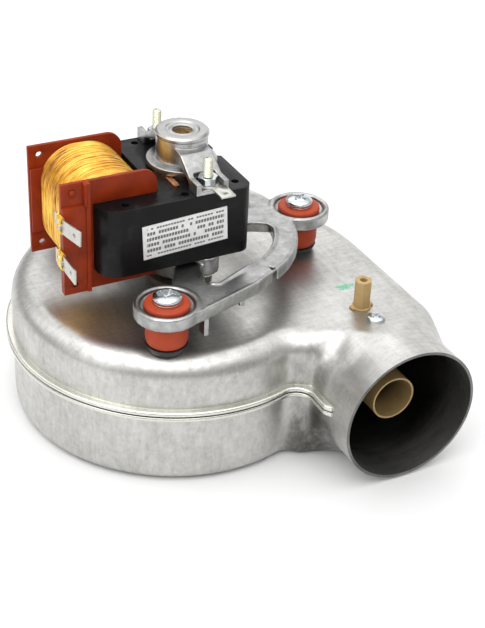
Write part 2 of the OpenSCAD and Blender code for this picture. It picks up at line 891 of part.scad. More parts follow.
module rotor_core() {
    color([0.45, 0.45, 0.47]) sleeve(shaft_r, rotor_d / 2, rotor_z0, rotor_z1);
}

module rotor_rings() {
    color([0.75, 0.76, 0.77]) {
        sleeve(6.5, rotor_d / 2 - 0.6, rotor_z1, rotor_z1 + cage_h);
        sleeve(6.5, rotor_d / 2 - 0.6, rotor_z0 - cage_h, rotor_z0);
    }
}

module thrust_washers() {
    color([0.30, 0.20, 0.14]) {
        sleeve(shaft_r, 5, top_bearing_z0 - 0.3 - washer_h, top_bearing_z0 - 0.3);
        sleeve(shaft_r, 5, low_bearing_z1 + 0.3, low_bearing_z1 + 0.3 + washer_h);
    }
}

// ---- impeller ----

module wheel_hub() {
    color([0.72, 0.73, 0.74]) difference() {
        union() {
            sleeve(shaft_r, hub2_r, hub2_z0, hub2_z1);
            sleeve(shaft_r, hub2_flange_r, plate_z1, hub2_z1);
        }
        hub_rivet_holes();
    }
}

module hub_rivet_holes() {
    for (a = [0 : 90 : 270]) rotate([0, 0, a]) translate([hub_rivet_at, 0, hub2_z0])
        cylinder(h = 30, r = 1.5);
}

module wheel_plate() {
    color([0.78, 0.78, 0.78]) difference() {
        sleeve(hub2_r, wheel_r, plate_z0, plate_z1);
        hub_rivet_holes();
    }
}

module hub_rivets() {
    color([0.70, 0.70, 0.70]) for (a = [0 : 90 : 270]) rotate([0, 0, a])
        translate([hub_rivet_at, 0, 0]) {
            translate([0, 0, plate_z0 - 0.8]) cylinder(h = hub2_z1 - plate_z0 + 1.6, r = 1.5);
            translate([0, 0, plate_z0 - 0.8]) cylinder(h = 0.8, r = 2.4);
            translate([0, 0, hub2_z1]) cylinder(h = 0.8, r = 2.4);
        }
}

// plan of one curved blade between the inner and outer blade circle
module blade_plan() {
    intersection() {
        translate([blade_in - 1, blade_arc * 0.8]) difference() {
            circle(blade_arc);
            circle(blade_arc - 1);
        }
        difference() {
            circle(blade_out);
            circle(blade_in);
        }
        translate([blade_in - 10, -20]) square([blade_out, 34]);
    }
}

module wheel_blades() {
    color([0.78, 0.78, 0.78]) for (i = [0 : blade_n - 1]) rotate([0, 0, i * 360 / blade_n])
        translate([0, 0, shroud_z1]) linear_extrude(plate_z0 - shroud_z1) blade_plan();
}

module wheel_shroud() {
    color([0.78, 0.78, 0.78]) sleeve(shroud_in, wheel_r, shroud_z0, shroud_z1);
}

module wheel_washer() {
    color([0.66, 0.66, 0.66]) sleeve(shaft_r, 6.5, hub2_z0 - washer_h, hub2_z0);
}

module wheel_nut() {
    color([0.70, 0.68, 0.60]) translate([0, 0, hub2_z0 - washer_h - wheel_nut_h])
        hex_nut(wheel_nut_af, wheel_nut_h, shaft_r);
}

upper_shell();
lower_shell();
pickup_tube();
pressure_nipple();
nipple_screw();
shaft_seal();
mount_seats();
bush_right();
bush_back();
bush_front();
foot_washers();
foot_screws();
motor_bracket();
lower_bearing();
stack_frame();
core_bar();
shading_rings();
rating_label();
bobbin();
winding();
terminal_upper();
terminal_lower();
top_bridge();
bore_ring();
upper_bearing();
oil_felt();
bearing_cap();
motor_bolts();
bolt_nuts();
earth_tab();
shaft();
rotor_core();
rotor_rings();
thrust_washers();
wheel_hub();
wheel_plate();
wheel_blades();
wheel_shroud();
hub_rivets();
wheel_washer();
wheel_nut();
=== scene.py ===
import json
import math
import random
from contextlib import contextmanager

import bmesh
import bpy
import numpy as np
from mathutils import Matrix, Vector


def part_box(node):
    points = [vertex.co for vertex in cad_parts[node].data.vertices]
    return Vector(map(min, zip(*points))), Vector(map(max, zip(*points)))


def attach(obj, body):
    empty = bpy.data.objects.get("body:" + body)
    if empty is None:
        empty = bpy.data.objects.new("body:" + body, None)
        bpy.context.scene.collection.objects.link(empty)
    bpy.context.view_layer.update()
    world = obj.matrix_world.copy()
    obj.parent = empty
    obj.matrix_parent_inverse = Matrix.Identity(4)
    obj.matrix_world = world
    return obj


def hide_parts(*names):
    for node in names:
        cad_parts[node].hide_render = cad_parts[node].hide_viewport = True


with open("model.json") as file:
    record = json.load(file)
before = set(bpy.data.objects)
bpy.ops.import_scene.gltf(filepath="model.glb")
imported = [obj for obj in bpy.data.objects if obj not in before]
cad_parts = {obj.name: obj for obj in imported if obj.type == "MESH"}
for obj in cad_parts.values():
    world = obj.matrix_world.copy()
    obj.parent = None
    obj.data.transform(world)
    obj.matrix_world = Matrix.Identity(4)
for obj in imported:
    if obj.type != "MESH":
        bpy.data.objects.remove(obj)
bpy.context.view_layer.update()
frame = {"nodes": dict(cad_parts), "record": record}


def ring_points(cx, cy, r, n):
    """n points on a circle, the first on its +X side."""
    return [(cx + r * math.cos(2 * math.pi * k / n), cy + r * math.sin(2 * math.pi * k / n))
            for k in range(n)]


MM = 0.001  # metres in a millimetre; shapes are written in mm
RNG = random.Random(7)
NODES = frame["nodes"]
EDGE_TURN = 38  # degrees; edges of CAD copies that turn by more are drawn sharp

# Plan of the casing in mm, as in the CAD: arcs are (x, y, radius)
A = (-2.0, 1.0, 68.5)
B = (6.2, 1.0, 76.7)
C = (6.2, -4.1, 81.8)
LEAD = (-2.0, -7.5, 60.0)
TONGUE = (18.0, -7.5 - math.sqrt(70 ** 2 - 20 ** 2), 10.0)
NECK = (58.0, 31.0, 30.0)  # x, z and radius of the outlet
WALL_X = 88.0
DUCT_Y = -60.0
TURN = 45.0  # degrees; where the tongue's arc meets the closing line to the neck
DUCT_L = ((TONGUE[0] + TONGUE[2] * math.cos(math.radians(TURN)),
           TONGUE[1] + TONGUE[2] * math.sin(math.radians(TURN))), (40.0, -64.5), (54.0, DUCT_Y))
TOP = 58.0
SEAM = 34.0  # height of the rolled joint
MID = TOP / 2
SHEET = 1.2
CUT_Y = -97.35  # outlet edge, 0.15 mm inside the CAD's
# where the lead-in arc meets the tongue's arc
T1 = tuple(np.array(TONGUE[:2]) + (np.array(LEAD[:2]) - np.array(TONGUE[:2])) / 70.0 * TONGUE[2])
LEAD_END = math.degrees(math.atan2(T1[1] - LEAD[1], T1[0] - LEAD[0])) % 360
TONGUE_END = math.degrees(math.atan2(T1[1] - TONGUE[1], T1[0] - TONGUE[0])) % 360
FILL = [LEAD[:2], T1, TONGUE[:2]] + list(DUCT_L) + [(66.0, LEAD[1])]
MOTOR_BOLT_Y = 24.3
FEET = ring_points(0, 0, 57.0, 3)
HEAD_Z = 80.1  # under the foot screws' heads


# --- camera

def make_camera():
    data = bpy.data.cameras.new("camera")
    cam = place("camera", data)
    data.sensor_fit = "HORIZONTAL"
    data.sensor_width = 36.0
    data.lens = 103.77
    data.clip_start = 0.01
    right = Vector((0.8886, -0.4568, 0.0429)).normalized()
    up = Vector((0.2144, 0.4961, 0.8414)).normalized()
    back = right.cross(up).normalized()
    pose = Matrix((right, up, back)).transposed().to_4x4()
    pose.translation = (-0.2215, -0.4612, 0.3656)
    cam.matrix_world = pose
    bpy.context.scene.camera = cam


# --- mesh helpers

def place(name, data):
    """Links new object data into the scene."""
    o = bpy.data.objects.new(name, data)
    bpy.context.scene.collection.objects.link(o)
    return o


def add_object(name, mesh, mats=()):
    """A smooth-shaded object with its materials."""
    for m in mats:
        mesh.materials.append(m)
    mesh.polygons.foreach_set("use_smooth", [True] * len(mesh.polygons))
    return place(name, mesh)


@contextmanager
def edit(mesh):
    """A BMesh of the mesh, written back at the end."""
    bm = bmesh.new()
    bm.from_mesh(mesh)
    yield bm
    bm.to_mesh(mesh)
    bm.free()


def sharp_by_angle(mesh, degrees):
    """Smooth faces, with edges sharp where the faces turn by more than some degrees."""
    with edit(mesh) as bm:
        for f in bm.faces:
            f.smooth = True
        for e in bm.edges:
            e.smooth = not (len(e.link_faces) == 2 and e.calc_face_angle(0) > math.radians(degrees))


def mesh_from(name, verts, faces):
    me = bpy.data.meshes.new(name)
    me.from_pydata([tuple(v) for v in verts], [], faces)
    me.validate(clean_customdata=False)
    me.update()
    return me


def solid_from(verts, faces):
    """Closed mesh from vertices in mm, faces turned outwards."""
    me = mesh_from("solid", np.array(verts) * MM, faces)
    with edit(me) as bm:
        bmesh.ops.recalc_face_normals(bm, faces=bm.faces)
    return me


def band(a, b, n):
    """Quads between two rings of n vertices that start at a and b."""
    return [(a + k, b + k, b + (k + 1) % n, a + (k + 1) % n) for k in range(n)]


def round_corners(pts, radii, steps=5):
    """Closed polygon with each corner replaced by an arc."""
    out = []
    n = len(pts)
    pts = np.array(pts, float)
    for i, p in enumerate(pts):
        a, b = pts[i - 1] - p, pts[(i + 1) % n] - p
        r = radii[i] if isinstance(radii, (list, tuple)) else radii
        la, lb = np.linalg.norm(a), np.linalg.norm(b)
        a, b = a / la, b / lb
        half = math.acos(float(np.clip(a @ b, -1, 1))) / 2
        if r <= 0 or half > math.radians(89):
            out.append(tuple(p))
            continue
        t = min(r / math.tan(half), 0.49 * la, 0.49 * lb)
        r = t * math.tan(half)
        c = p + (a + b) / np.linalg.norm(a + b) * r / math.sin(half)
        s, e = p + a * t - c, p + b * t - c
        a0 = math.atan2(s[1], s[0])
        d = math.atan2(e[1], e[0]) - a0
        d = (d + math.pi) % (2 * math.pi) - math.pi
        for k in range(steps + 1):
            g = a0 + d * k / steps
            out.append((c[0] + r * math.cos(g), c[1] + r * math.sin(g)))
    return out


def lathe_mesh(profile, seg, at=(0, 0, 0), axis="z"):
    """Revolves a closed (r, z) profile in mm about +Z or -Y. r = 0 points become poles."""
    verts, starts = [], []
    for r, z in profile:
        starts.append(len(verts))
        verts += [(x, y, z) for x, y in ring_points(0, 0, r, seg)] if r > 1e-6 else [(0, 0, z)]
    poles = [r <= 1e-6 for r, _ in profile]
    faces = []
    for i, a in enumerate(starts):
        j = (i + 1) % len(starts)
        b = starts[j]
        for k in range(seg) if not (poles[i] and poles[j]) else ():
            k2 = (k + 1) % seg
            near = (a,) if poles[i] else (a + k2, a + k)
            faces.append(near + ((b,) if poles[j] else (b + k, b + k2)))
    v = np.array(verts, float)
    if axis != "z":
        v = np.c_[v[:, 0], -v[:, 2], v[:, 1]]
    return solid_from(v + np.array(at), faces)


def plate_mesh(outline, hole, z0, z1, bevel, res):
    """Extrudes a 2D outline with a hole from z0 to z1 in mm, edges rounded."""
    cu = bpy.data.curves.new("plate", "CURVE")
    cu.dimensions = "2D"
    cu.fill_mode = "BOTH"
    for loop in (outline, hole):
        sp = cu.splines.new("POLY")
        sp.points.add(len(loop) - 1)
        for p, (x, y) in zip(sp.points, loop):
            p.co = (x * MM, y * MM, 0, 1)
        sp.use_cyclic_u = True
    cu.bevel_depth = bevel * MM
    cu.bevel_resolution = res
    cu.offset = -bevel * MM
    cu.extrude = ((z1 - z0) / 2 - bevel) * MM
    tmp = place("plate", cu)
    dg = bpy.context.evaluated_depsgraph_get()
    me = bpy.data.meshes.new_from_object(tmp.evaluated_get(dg))
    bpy.data.objects.remove(tmp)
    bpy.data.curves.remove(cu)
    with edit(me) as bm:
        bmesh.ops.remove_doubles(bm, verts=bm.verts, dist=1e-6)
        bmesh.ops.translate(bm, verts=bm.verts, vec=(0, 0, (z0 + z1) / 2 * MM))
        bmesh.ops.recalc_face_normals(bm, faces=bm.faces)
    return me


def join_meshes(name, meshes):
    """One mesh from several, which are used up."""
    bm = bmesh.new()
    for me in meshes:
        bm.from_mesh(me)
    out = bpy.data.meshes.new(name)
    bm.to_mesh(out)
    bm.free()
    for me in meshes:
        bpy.data.meshes.remove(me)
    return out


def box_mesh(x0, y0, z0, x1, y1, z1, bevel, seg):
    """Box in mm with rounded edges."""
    me = bpy.data.meshes.new("box")
    with edit(me) as bm:
        bmesh.ops.create_cube(bm, size=1)
        for v in bm.verts:
            v.co = Vector([b if q > 0 else a for q, a, b in zip(v.co, (x0, y0, z0), (x1, y1, z1))]) * MM
        bmesh.ops.bevel(bm, geom=bm.edges[:], offset=bevel * MM, segments=seg, profile=0.5,
                        affect="EDGES", clamp_overlap=True)
        bmesh.ops.recalc_face_normals(bm, faces=bm.faces)
    return me


def apply_modifiers(o):
    dg = bpy.context.evaluated_depsgraph_get()
    me = bpy.data.meshes.new_from_object(o.evaluated_get(dg))
    old = o.data
    o.modifiers.clear()
    o.data = me
    bpy.data.meshes.remove(old)


def voxel_cast(name, meshes, voxel):
    """Fuses overlapping solids and softens their edges, as a casting is."""
    o = add_object(name, join_meshes(name, meshes), [MATS["die_cast"]])
    m = o.modifiers.new("r", "REMESH")
    m.mode = "VOXEL"
    m.voxel_size = voxel * MM
    o.modifiers.new("s", "SMOOTH").iterations = 3
    apply_modifiers(o)
    o.data.polygons.foreach_set("use_smooth", [True] * len(o.data.polygons))
    return o


def cad_copy(node, name, bevel, seg, angle, mats=(), weld=2e-6):
    """Copy of a CAD node's mesh with flat faces merged and edges rounded."""
    me = NODES[node].data.copy()
    me.name = name
    with edit(me) as bm:
        bmesh.ops.remove_doubles(bm, verts=bm.verts, dist=weld)
        bmesh.ops.dissolve_limit(bm, angle_limit=math.radians(0.6), verts=bm.verts, edges=bm.edges,
                                 delimit={"NORMAL"})
    me.materials.clear()
    o = add_object(name + "_piece", me, mats)
    if bevel > 0:
        b = o.modifiers.new("b", "BEVEL")
        b.width = bevel * MM
        b.segments = seg
        b.limit_method = "ANGLE"
        b.angle_limit = math.radians(angle)
        apply_modifiers(o)
    sharp_by_angle(o.data, EDGE_TURN)
    return o


def rounded_mesh(node, bevel, seg, weld=2e-6):
    """Rounded mesh of a CAD node, for joining to other meshes."""
    o = cad_copy(node, node + "_part", bevel, seg, 32, weld=weld)
    me = o.data.copy()
    bpy.data.objects.remove(o)
    return me


def finish_piece(o, node):
    """Makes an object the visual piece of a CAD node on the casing."""
    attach(o, "casing")
    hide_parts(node)
    return o


# --- materials

class Mat:
    """A principled material whose colour, roughness and bump come from noise in object space."""

    def __init__(self, name, color, rough, metallic=0.0, **inputs):
        self.m = bpy.data.materials.new(name)
        self.m.use_nodes = True
        self.m.diffuse_color = (*color, 1)
        self.t = self.m.node_tree
        self.p = self.t.nodes["Principled BSDF"]
        self.put(color, self.p.inputs["Base Color"])
        self.rough(rough)
        self.metal(metallic)
        for k, v in inputs.items():
            self.put(v, self.p.inputs[k.replace("_", " ")])
        self.obj = self.node("TexCoord").outputs["Object"]
        self.height = None

    def put(self, val, sock):
        """Sets a socket to a number, vector or colour, or links it to an output."""
        if isinstance(val, bpy.types.NodeSocket):
            self.t.links.new(val, sock)
        else:
            sock.default_value = self.rgba(val) if sock.type == "RGBA" else val

    def node(self, kind, *ordered, **inputs):
        """New shader node with its inputs set in order or by name."""
        n = self.t.nodes.new("ShaderNode" + kind)
        for sock, val in zip(n.inputs, ordered):
            self.put(val, sock)
        for k, val in inputs.items():
            self.put(val, n.inputs[k.replace("_", " ")])
        return n

    @staticmethod
    def rgba(c):
        return (c, c, c, 1) if isinstance(c, (int, float)) else (*c, 1)

    def noise(self, scale, detail=3, rough=0.5, stretch=(1, 1, 1), rot=(0, 0, 0), distort=0.0):
        at = self.node("Mapping", Vector=self.obj, Scale=stretch, Rotation=rot)
        return self.node("TexNoise", Vector=at.outputs["Vector"], Scale=scale, Detail=detail,
                         Roughness=rough, Distortion=distort).outputs["Fac"]

    def ramp(self, fac, stops, interp="LINEAR"):
        n = self.node("ValToRGB", Fac=fac)
        n.color_ramp.interpolation = interp
        el = n.color_ramp.elements
        el[0].position, el[0].color = stops[0][0], self.rgba(stops[0][1])
        el[1].position, el[1].color = stops[-1][0], self.rgba(stops[-1][1])
        for pos, c in stops[1:-1]:
            el.new(pos).color = self.rgba(c)
        return n.outputs["Color"]

    def mixc(self, fac, a, b, mode="MIX"):
        n = self.t.nodes.new("ShaderNodeMix")
        n.data_type = "RGBA"
        n.blend_type = mode
        for i, val in ((0, fac), (6, a), (7, b)):
            self.put(val, n.inputs[i])
        return n.outputs[2]

    def math(self, op, a, b=0.0, clamp=False):
        n = self.node("Math", a, b)
        n.operation = op
        n.use_clamp = clamp
        return n.outputs[0]

    def mul(self, first, *others, clamp=False):
        for v in others:
            first = self.math("MULTIPLY", first, v, clamp)
        return first

    def sub(self, a, b):
        return self.math("SUBTRACT", a, b)

    def square_dist(self, *axes):
        """Sum of ((value - centre) / radius) squared over the (value, centre, radius) given."""
        total = 0.0
        for v, centre, radius in axes:
            q = self.math("DIVIDE", self.sub(v, centre), radius)
            total = self.math("ADD", self.mul(q, q), total)
        return total

    def maprange(self, v, a, b, c, d):
        """Maps a..b to c..d, clamped."""
        return self.node("MapRange", Value=v, From_Min=a, From_Max=b, To_Min=c, To_Max=d).outputs["Result"]

    def xyz(self):
        return self.node("SeparateXYZ", self.obj).outputs

    def color(self, val):
        self.put(val, self.p.inputs["Base Color"])

    def rough(self, val):
        self.put(val, self.p.inputs["Roughness"])

    def metal(self, val):
        self.put(val, self.p.inputs["Metallic"])

    def bump(self, height, strength, dist):
        """Adds bumps on top of those the material has."""
        n = self.node("Bump", Strength=strength, Distance=dist, Height=height)
        if self.height is not None:
            self.put(self.height, n.inputs["Normal"])
        self.height = n.outputs["Normal"]
        self.put(self.height, self.p.inputs["Normal"])


def metal(name, color, rough, spread, grain, stretch, bump, smudge, dark):
    m = Mat(name, color, rough, 1.0)
    fine = m.noise(grain, 4, 0.6, (1, 1, stretch))
    tone = m.mixc(0.45, fine, m.noise(smudge, 4, 0.55))
    m.color(m.ramp(tone, [(0.32, tuple(c * dark for c in color)), (0.62, color)]))
    m.rough(m.maprange(tone, 0.3, 0.7, rough - spread, rough + spread))
    m.bump(fine, bump, 0.0001)
    return m.m


def plastic(name, color, rough, vary, grain, bump, **inputs):
    m = Mat(name, color, rough, 0.0, **inputs)
    n = m.noise(120, 4, 0.6)
    lo = tuple(max(0, c * (1 - vary)) for c in color)
    hi = tuple(min(1, c * (1 + vary)) for c in color)
    m.color(m.ramp(n, [(0.3, lo), (0.7, hi)]))
    m.rough(m.maprange(m.noise(260, 3), 0.3, 0.7, rough - 0.06, rough + 0.08))
    m.bump(m.noise(grain, 3, 0.6), bump, 0.00006)
    return m.m


def inner_metal():
    """Inner skin of the casing, dulled by flue gas, with painted shade that deepens into the outlet."""
    m = Mat("casing_inside", (0.12, 0.12, 0.115), 0.55, 1.0)
    n = m.noise(60, 5, 0.65, (1, 5, 1), distort=0.5)
    c = m.ramp(n, [(0.34, (0.16, 0.16, 0.155)), (0.66, (0.26, 0.26, 0.25))])
    y = m.xyz()[1]
    # painted shade, darker deeper into the outlet
    m.color(m.mixc(m.maprange(y, -0.0965, -0.0700, 0.1, 0.75), c, (0.05, 0.05, 0.048)))
    m.rough(m.maprange(n, 0.34, 0.66, 0.62, 0.45))
    m.bump(m.noise(500, 3, 0.6), 0.08, 0.0001)
    return m.m


def sheet_metal():
    """Aluminised steel: rolled grain, faint cloudy patches, wipe marks, painted shade at the tongue, a
    painted highlight on the rolled joint and one ink dab.
    """
    m = Mat("casing_sheet", (0.56, 0.555, 0.54), 0.42, 1.0)
    cloud = m.noise(38, 5, 0.62, distort=0.6)
    spangle = m.noise(420, 3, 0.7)
    rolled = m.noise(90, 5, 0.7, (1, 9, 1), (0, 0, 0.5))
    wipes = m.noise(60, 6, 0.75, (7, 1, 3), (0, 0.3, 1.0), 0.4)
    tone = m.mixc(0.5, m.mixc(0.5, cloud, rolled), m.mixc(0.45, wipes, spangle))
    col = m.ramp(tone, [(0.36, (0.36, 0.355, 0.34)), (0.47, (0.50, 0.495, 0.475)),
                        (0.55, (0.58, 0.575, 0.555)), (0.68, (0.68, 0.675, 0.655))])
    stain = m.ramp(m.noise(22, 4, 0.6, distort=1.2), [(0.60, 0.0), (0.76, 0.35)])
    col = m.mixc(stain, col, (0.50, 0.47, 0.41))
    x, y, z = m.xyz()
    # painted shade at the foot of the tongue, broken up by the wipe marks
    foot = m.square_dist((x, 0.025, 0.015), (y, -0.076, 0.015), (z, 0.004, 0.030))
    tongue_foot_shade = m.ramp(foot, [(0.0, 0.95), (0.50, 0.75), (1.0, 0.0)], "EASE")
    tongue_foot_shade = m.mixc(1.0, tongue_foot_shade, m.ramp(wipes, [(0.38, 1.0), (0.62, 0.70)]), "MULTIPLY")
    col = m.mixc(tongue_foot_shade, col, (0.055, 0.053, 0.048))
    # painted shade in the crease between tongue and neck
    fold = m.square_dist((x, 0.027, 0.0095), (y, -0.070, 0.0095))
    crease_shade = m.ramp(fold, [(0.0, 0.30), (0.35, 0.55), (1.0, 0.0)], "EASE")
    crease_shade = m.mul(crease_shade, m.maprange(z, 0.056, 0.046, 0.0, 1.0), clamp=True)
    crease_shade = m.mul(crease_shade, m.maprange(wipes, 0.36, 0.62, 1.0, 0.55))
    col = m.mixc(crease_shade, col, (0.10, 0.098, 0.09))
    # ink dab on the top
    wob = m.maprange(m.noise(300, 3), 0.3, 0.7, -0.0012, 0.0012)
    dab = m.square_dist((m.math("ADD", x, wob), 0.060, 0.0052), (m.math("ADD", y, wob), -0.0372, 0.0020))
    ink = m.ramp(dab, [(0.0, 0.85), (0.62, 0.8), (1.0, 0.0)])
    ink = m.mixc(1.0, ink, m.ramp(m.noise(900, 3), [(0.36, 0.35), (0.52, 1.0)]), "MULTIPLY")
    top = m.maprange(z, 0.0572, 0.0576, 0.0, 1.0)
    ink = m.mul(ink, top, clamp=True)
    # painted highlight: the rolled joint's band is made lighter, with a dark line where the halves meet
    az = m.math("ABSOLUTE", m.sub(z, SEAM * MM))
    rim = m.mul(m.maprange(az, 0.0027, 0.0023, 0.0, 1.0),
                m.maprange(y, -0.0860, -0.0855, 0.0, 1.0), clamp=True)
    seam = m.mul(m.maprange(az, 0.0006, 0.0002, 0.0, 0.7), rim)
    # painted highlight on the rolled joint
    col = m.mixc(m.mul(rim, 0.6), col, (0.80, 0.79, 0.71))
    col = m.mixc(seam, col, (0.05, 0.05, 0.045))
    m.color(m.mixc(ink, col, (0.03, 0.42, 0.22)))
    m.metal(m.maprange(ink, 0.0, 1.0, 1.0, 0.15))
    r = m.maprange(tone, 0.36, 0.66, 0.44, 0.30)
    r = m.sub(r, m.mul(rim, 0.12))
    m.rough(m.math("ADD", r, m.mul(stain, 0.25), clamp=True))
    m.bump(m.noise(26, 2, 0.5), 0.35, 0.0005)
    m.bump(rolled, 0.10, 0.0001)
    m.bump(spangle, 0.06, 0.0001)
    return m.m


def cast_metal():
    """Die casting, with painted shade low down at the bracket's hub, under the stack."""
    m = Mat("die_cast", (0.63, 0.635, 0.63), 0.3, 1.0)
    n = m.noise(160, 5, 0.65, distort=0.3)
    fine = m.noise(1500, 3, 0.6)
    c = m.ramp(n, [(0.3, (0.26, 0.262, 0.26)), (0.5, (0.38, 0.382, 0.377)), (0.7, (0.53, 0.53, 0.52))])
    x, y, z = m.xyz()
    r = m.math("SQRT", m.square_dist((x, 0.0, 1.0), (y, 0.0, 1.0)))
    # painted shade under the stack, low down near the hub
    hub_shade = m.mul(m.maprange(z, 0.0785, 0.0725, 0.0, 0.85),
                 m.maprange(r, 0.036, 0.028, 0.0, 1.0), clamp=True)
    m.color(m.mixc(hub_shade, c, (0.07, 0.068, 0.062)))
    m.rough(m.maprange(n, 0.3, 0.7, 0.42, 0.27))
    m.bump(m.noise(220, 4, 0.6), 0.25, 0.0002)
    m.bump(fine, 0.12, 0.00008)
    return m.m


def black_stack():
    """Black varnished laminations: faint sheet lines on the edges, uneven gloss."""
    m = Mat("black_stack", (0.008, 0.008, 0.009), 0.3, 0.0, Coat_Weight=0.06, Coat_Roughness=0.15,
            Specular_IOR_Level=0.14)
    z = m.xyz()[2]
    n = m.noise(130, 5, 0.65)
    m.color(m.ramp(n, [(0.3, (0.003, 0.003, 0.0034)), (0.6, (0.006, 0.006, 0.0066)),
                       (0.8, (0.018, 0.018, 0.02))]))
    m.rough(m.maprange(m.noise(60, 5, 0.7, (1, 1, 0.3)), 0.3, 0.7, 0.22, 0.48))
    saw = m.math("FRACT", m.mul(z, 2000))
    line = m.mul(m.math("LESS_THAN", saw, 0.16), -1.0)
    m.bump(line, 0.12, 0.00005)
    m.bump(m.noise(340, 4, 0.6), 0.16, 0.00012)
    return m.m


def coil_wire():
    """Varnished copper wire."""
    m = Mat("enamel_wire", (0.86, 0.48, 0.08), 0.28, 0.65, Coat_Weight=0.8, Coat_Roughness=0.18)
    tone = m.mixc(0.5, m.noise(500, 4, 0.6, (0.2, 3, 0.2)), m.noise(70, 4, 0.6))
    m.color(m.ramp(tone, [(0.38, (0.32, 0.105, 0.004)), (0.49, (0.76, 0.37, 0.016)),
                          (0.60, (0.98, 0.66, 0.09))]))
    m.rough(m.maprange(tone, 0.3, 0.7, 0.22, 0.42))
    m.bump(m.noise(1800, 2), 0.1, 0.00005)
    return m.m


def label_paper():
    """Silver foil label with rows of plain bars in place of print."""
    m = Mat("label", (0.80, 0.80, 0.79), 0.34, 0.25)
    x, _, z = m.xyz()
    lo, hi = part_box("rating_label")
    dx = m.sub(x, (lo[0] + hi[0]) / 2)
    dz = m.sub(z, (lo[2] + hi[2]) / 2)
    u = m.math("DIVIDE", dx, 0.0366)
    v = m.math("DIVIDE", m.sub(dz, m.mul(dx, math.tan(math.radians(3)))), 0.0148)
    row = m.mul(m.math("ADD", v, 0.5), 6.0)
    fr = m.math("FRACT", row)
    ri = m.math("FLOOR", row)
    inrow = m.mul(m.math("GREATER_THAN", fr, 0.20), m.math("LESS_THAN", fr, 0.76))
    cell = m.math("ADD", m.mul(u, 30.0), m.mul(ri, 3.7))
    pick = m.node("TexWhiteNoise", Vector=m.node("CombineXYZ", m.math("FLOOR", cell), ri).outputs[0])
    pick.noise_dimensions = "2D"
    on = m.math("GREATER_THAN", pick.outputs["Value"], 0.22)
    gap = m.math("GREATER_THAN", m.math("FRACT", cell), 0.22)
    ink = m.mul(inrow, on, gap, m.math("LESS_THAN", m.math("ABSOLUTE", u), 0.455),
                m.math("LESS_THAN", m.math("ABSOLUTE", v), 0.42))
    paper = m.ramp(m.noise(420, 3), [(0.3, (0.72, 0.725, 0.72)), (0.7, (0.83, 0.835, 0.83))])
    m.color(m.mixc(m.mul(ink, 0.86), paper, (0.03, 0.03, 0.03)))
    m.rough(m.maprange(m.noise(300, 3), 0.3, 0.7, 0.28, 0.42))
    m.bump(m.noise(500, 3), 0.08, 0.00005)
    return m.m


def tan_plastic():
    """Filled nylon, with painted shade down the bore of the pick-up tube."""
    m = Mat("tan_plastic", (0.42, 0.28, 0.115), 0.45, 0.0, Specular_IOR_Level=0.35)
    n = m.noise(140, 4, 0.6)
    c = m.ramp(n, [(0.3, (0.34, 0.225, 0.088)), (0.7, (0.47, 0.32, 0.14))])
    x, y, z = m.xyz()
    # painted shade inside the bore, darker deeper in
    bore = m.math("LESS_THAN", m.square_dist((x, NECK[0] * MM, 0.0089), (z, NECK[1] * MM, 0.0089)), 1.0)
    bore_shade = m.mul(bore, m.maprange(y, -0.0835, -0.070, 0.35, 0.93), clamp=True)
    m.color(m.mixc(bore_shade, c, (0.035, 0.02, 0.008)))
    m.rough(m.maprange(m.noise(260, 3), 0.3, 0.7, 0.38, 0.55))
    m.bump(m.noise(900, 3, 0.6), 0.1, 0.00006)
    return m.m


# name: colour, roughness, colour spread, grain, bump, other inputs
PLASTICS = {
    "bobbin_plastic": ((0.235, 0.025, 0.004), 0.42, 0.22, 500, 0.15, {"Specular_IOR_Level": 0.18}),
    "silicone": ((0.37, 0.046, 0.012), 0.5, 0.14, 900, 0.18,
                 {"Specular_IOR_Level": 0.3, "Subsurface_Weight": 0.08, "Subsurface_Scale": 0.002}),
    "black_seat": ((0.018, 0.018, 0.017), 0.5, 0.4, 900, 0.25, {}),
    "seal_board": ((0.10, 0.085, 0.07), 0.85, 0.3, 600, 0.5, {}),
    "felt": ((0.55, 0.50, 0.38), 0.95, 0.25, 1600, 0.9, {"Sheen_Weight": 0.4}),
    "fibre": ((0.16, 0.07, 0.03), 0.7, 0.3, 800, 0.3, {}),
}
# name: colour, roughness, roughness spread, grain, stretch along z, bump, smudge scale, dark tone
METALS = {
    "bright_zinc": ((0.64, 0.67, 0.69), 0.20, 0.06, 1400, 1, 0.05, 300, 0.80),
    "bronze": ((0.62, 0.43, 0.22), 0.34, 0.08, 1600, 1, 0.20, 200, 0.60),
    "bare_core": ((0.35, 0.34, 0.33), 0.42, 0.10, 700, 8, 0.20, 60, 0.82),
    "copper": ((0.72, 0.33, 0.15), 0.26, 0.08, 900, 1, 0.10, 200, 0.60),
    "tinned": ((0.60, 0.595, 0.55), 0.34, 0.08, 1100, 1, 0.10, 300, 0.80),
    "turned_cap": ((0.50, 0.50, 0.495), 0.30, 0.07, 1500, 14, 0.08, 160, 0.72),
    "yellow_zinc": ((0.72, 0.72, 0.56), 0.27, 0.08, 1200, 1, 0.10, 300, 0.80),
    "ground_steel": ((0.66, 0.67, 0.68), 0.18, 0.05, 1600, 20, 0.06, 60, 0.82),
    "rotor_iron": ((0.30, 0.29, 0.28), 0.45, 0.10, 600, 20, 0.30, 60, 0.82),
    "rotor_alloy": ((0.62, 0.63, 0.64), 0.42, 0.10, 500, 1, 0.30, 60, 0.82),
    "wheel_sheet": ((0.60, 0.60, 0.59), 0.34, 0.10, 500, 1, 0.15, 40, 0.70),
}


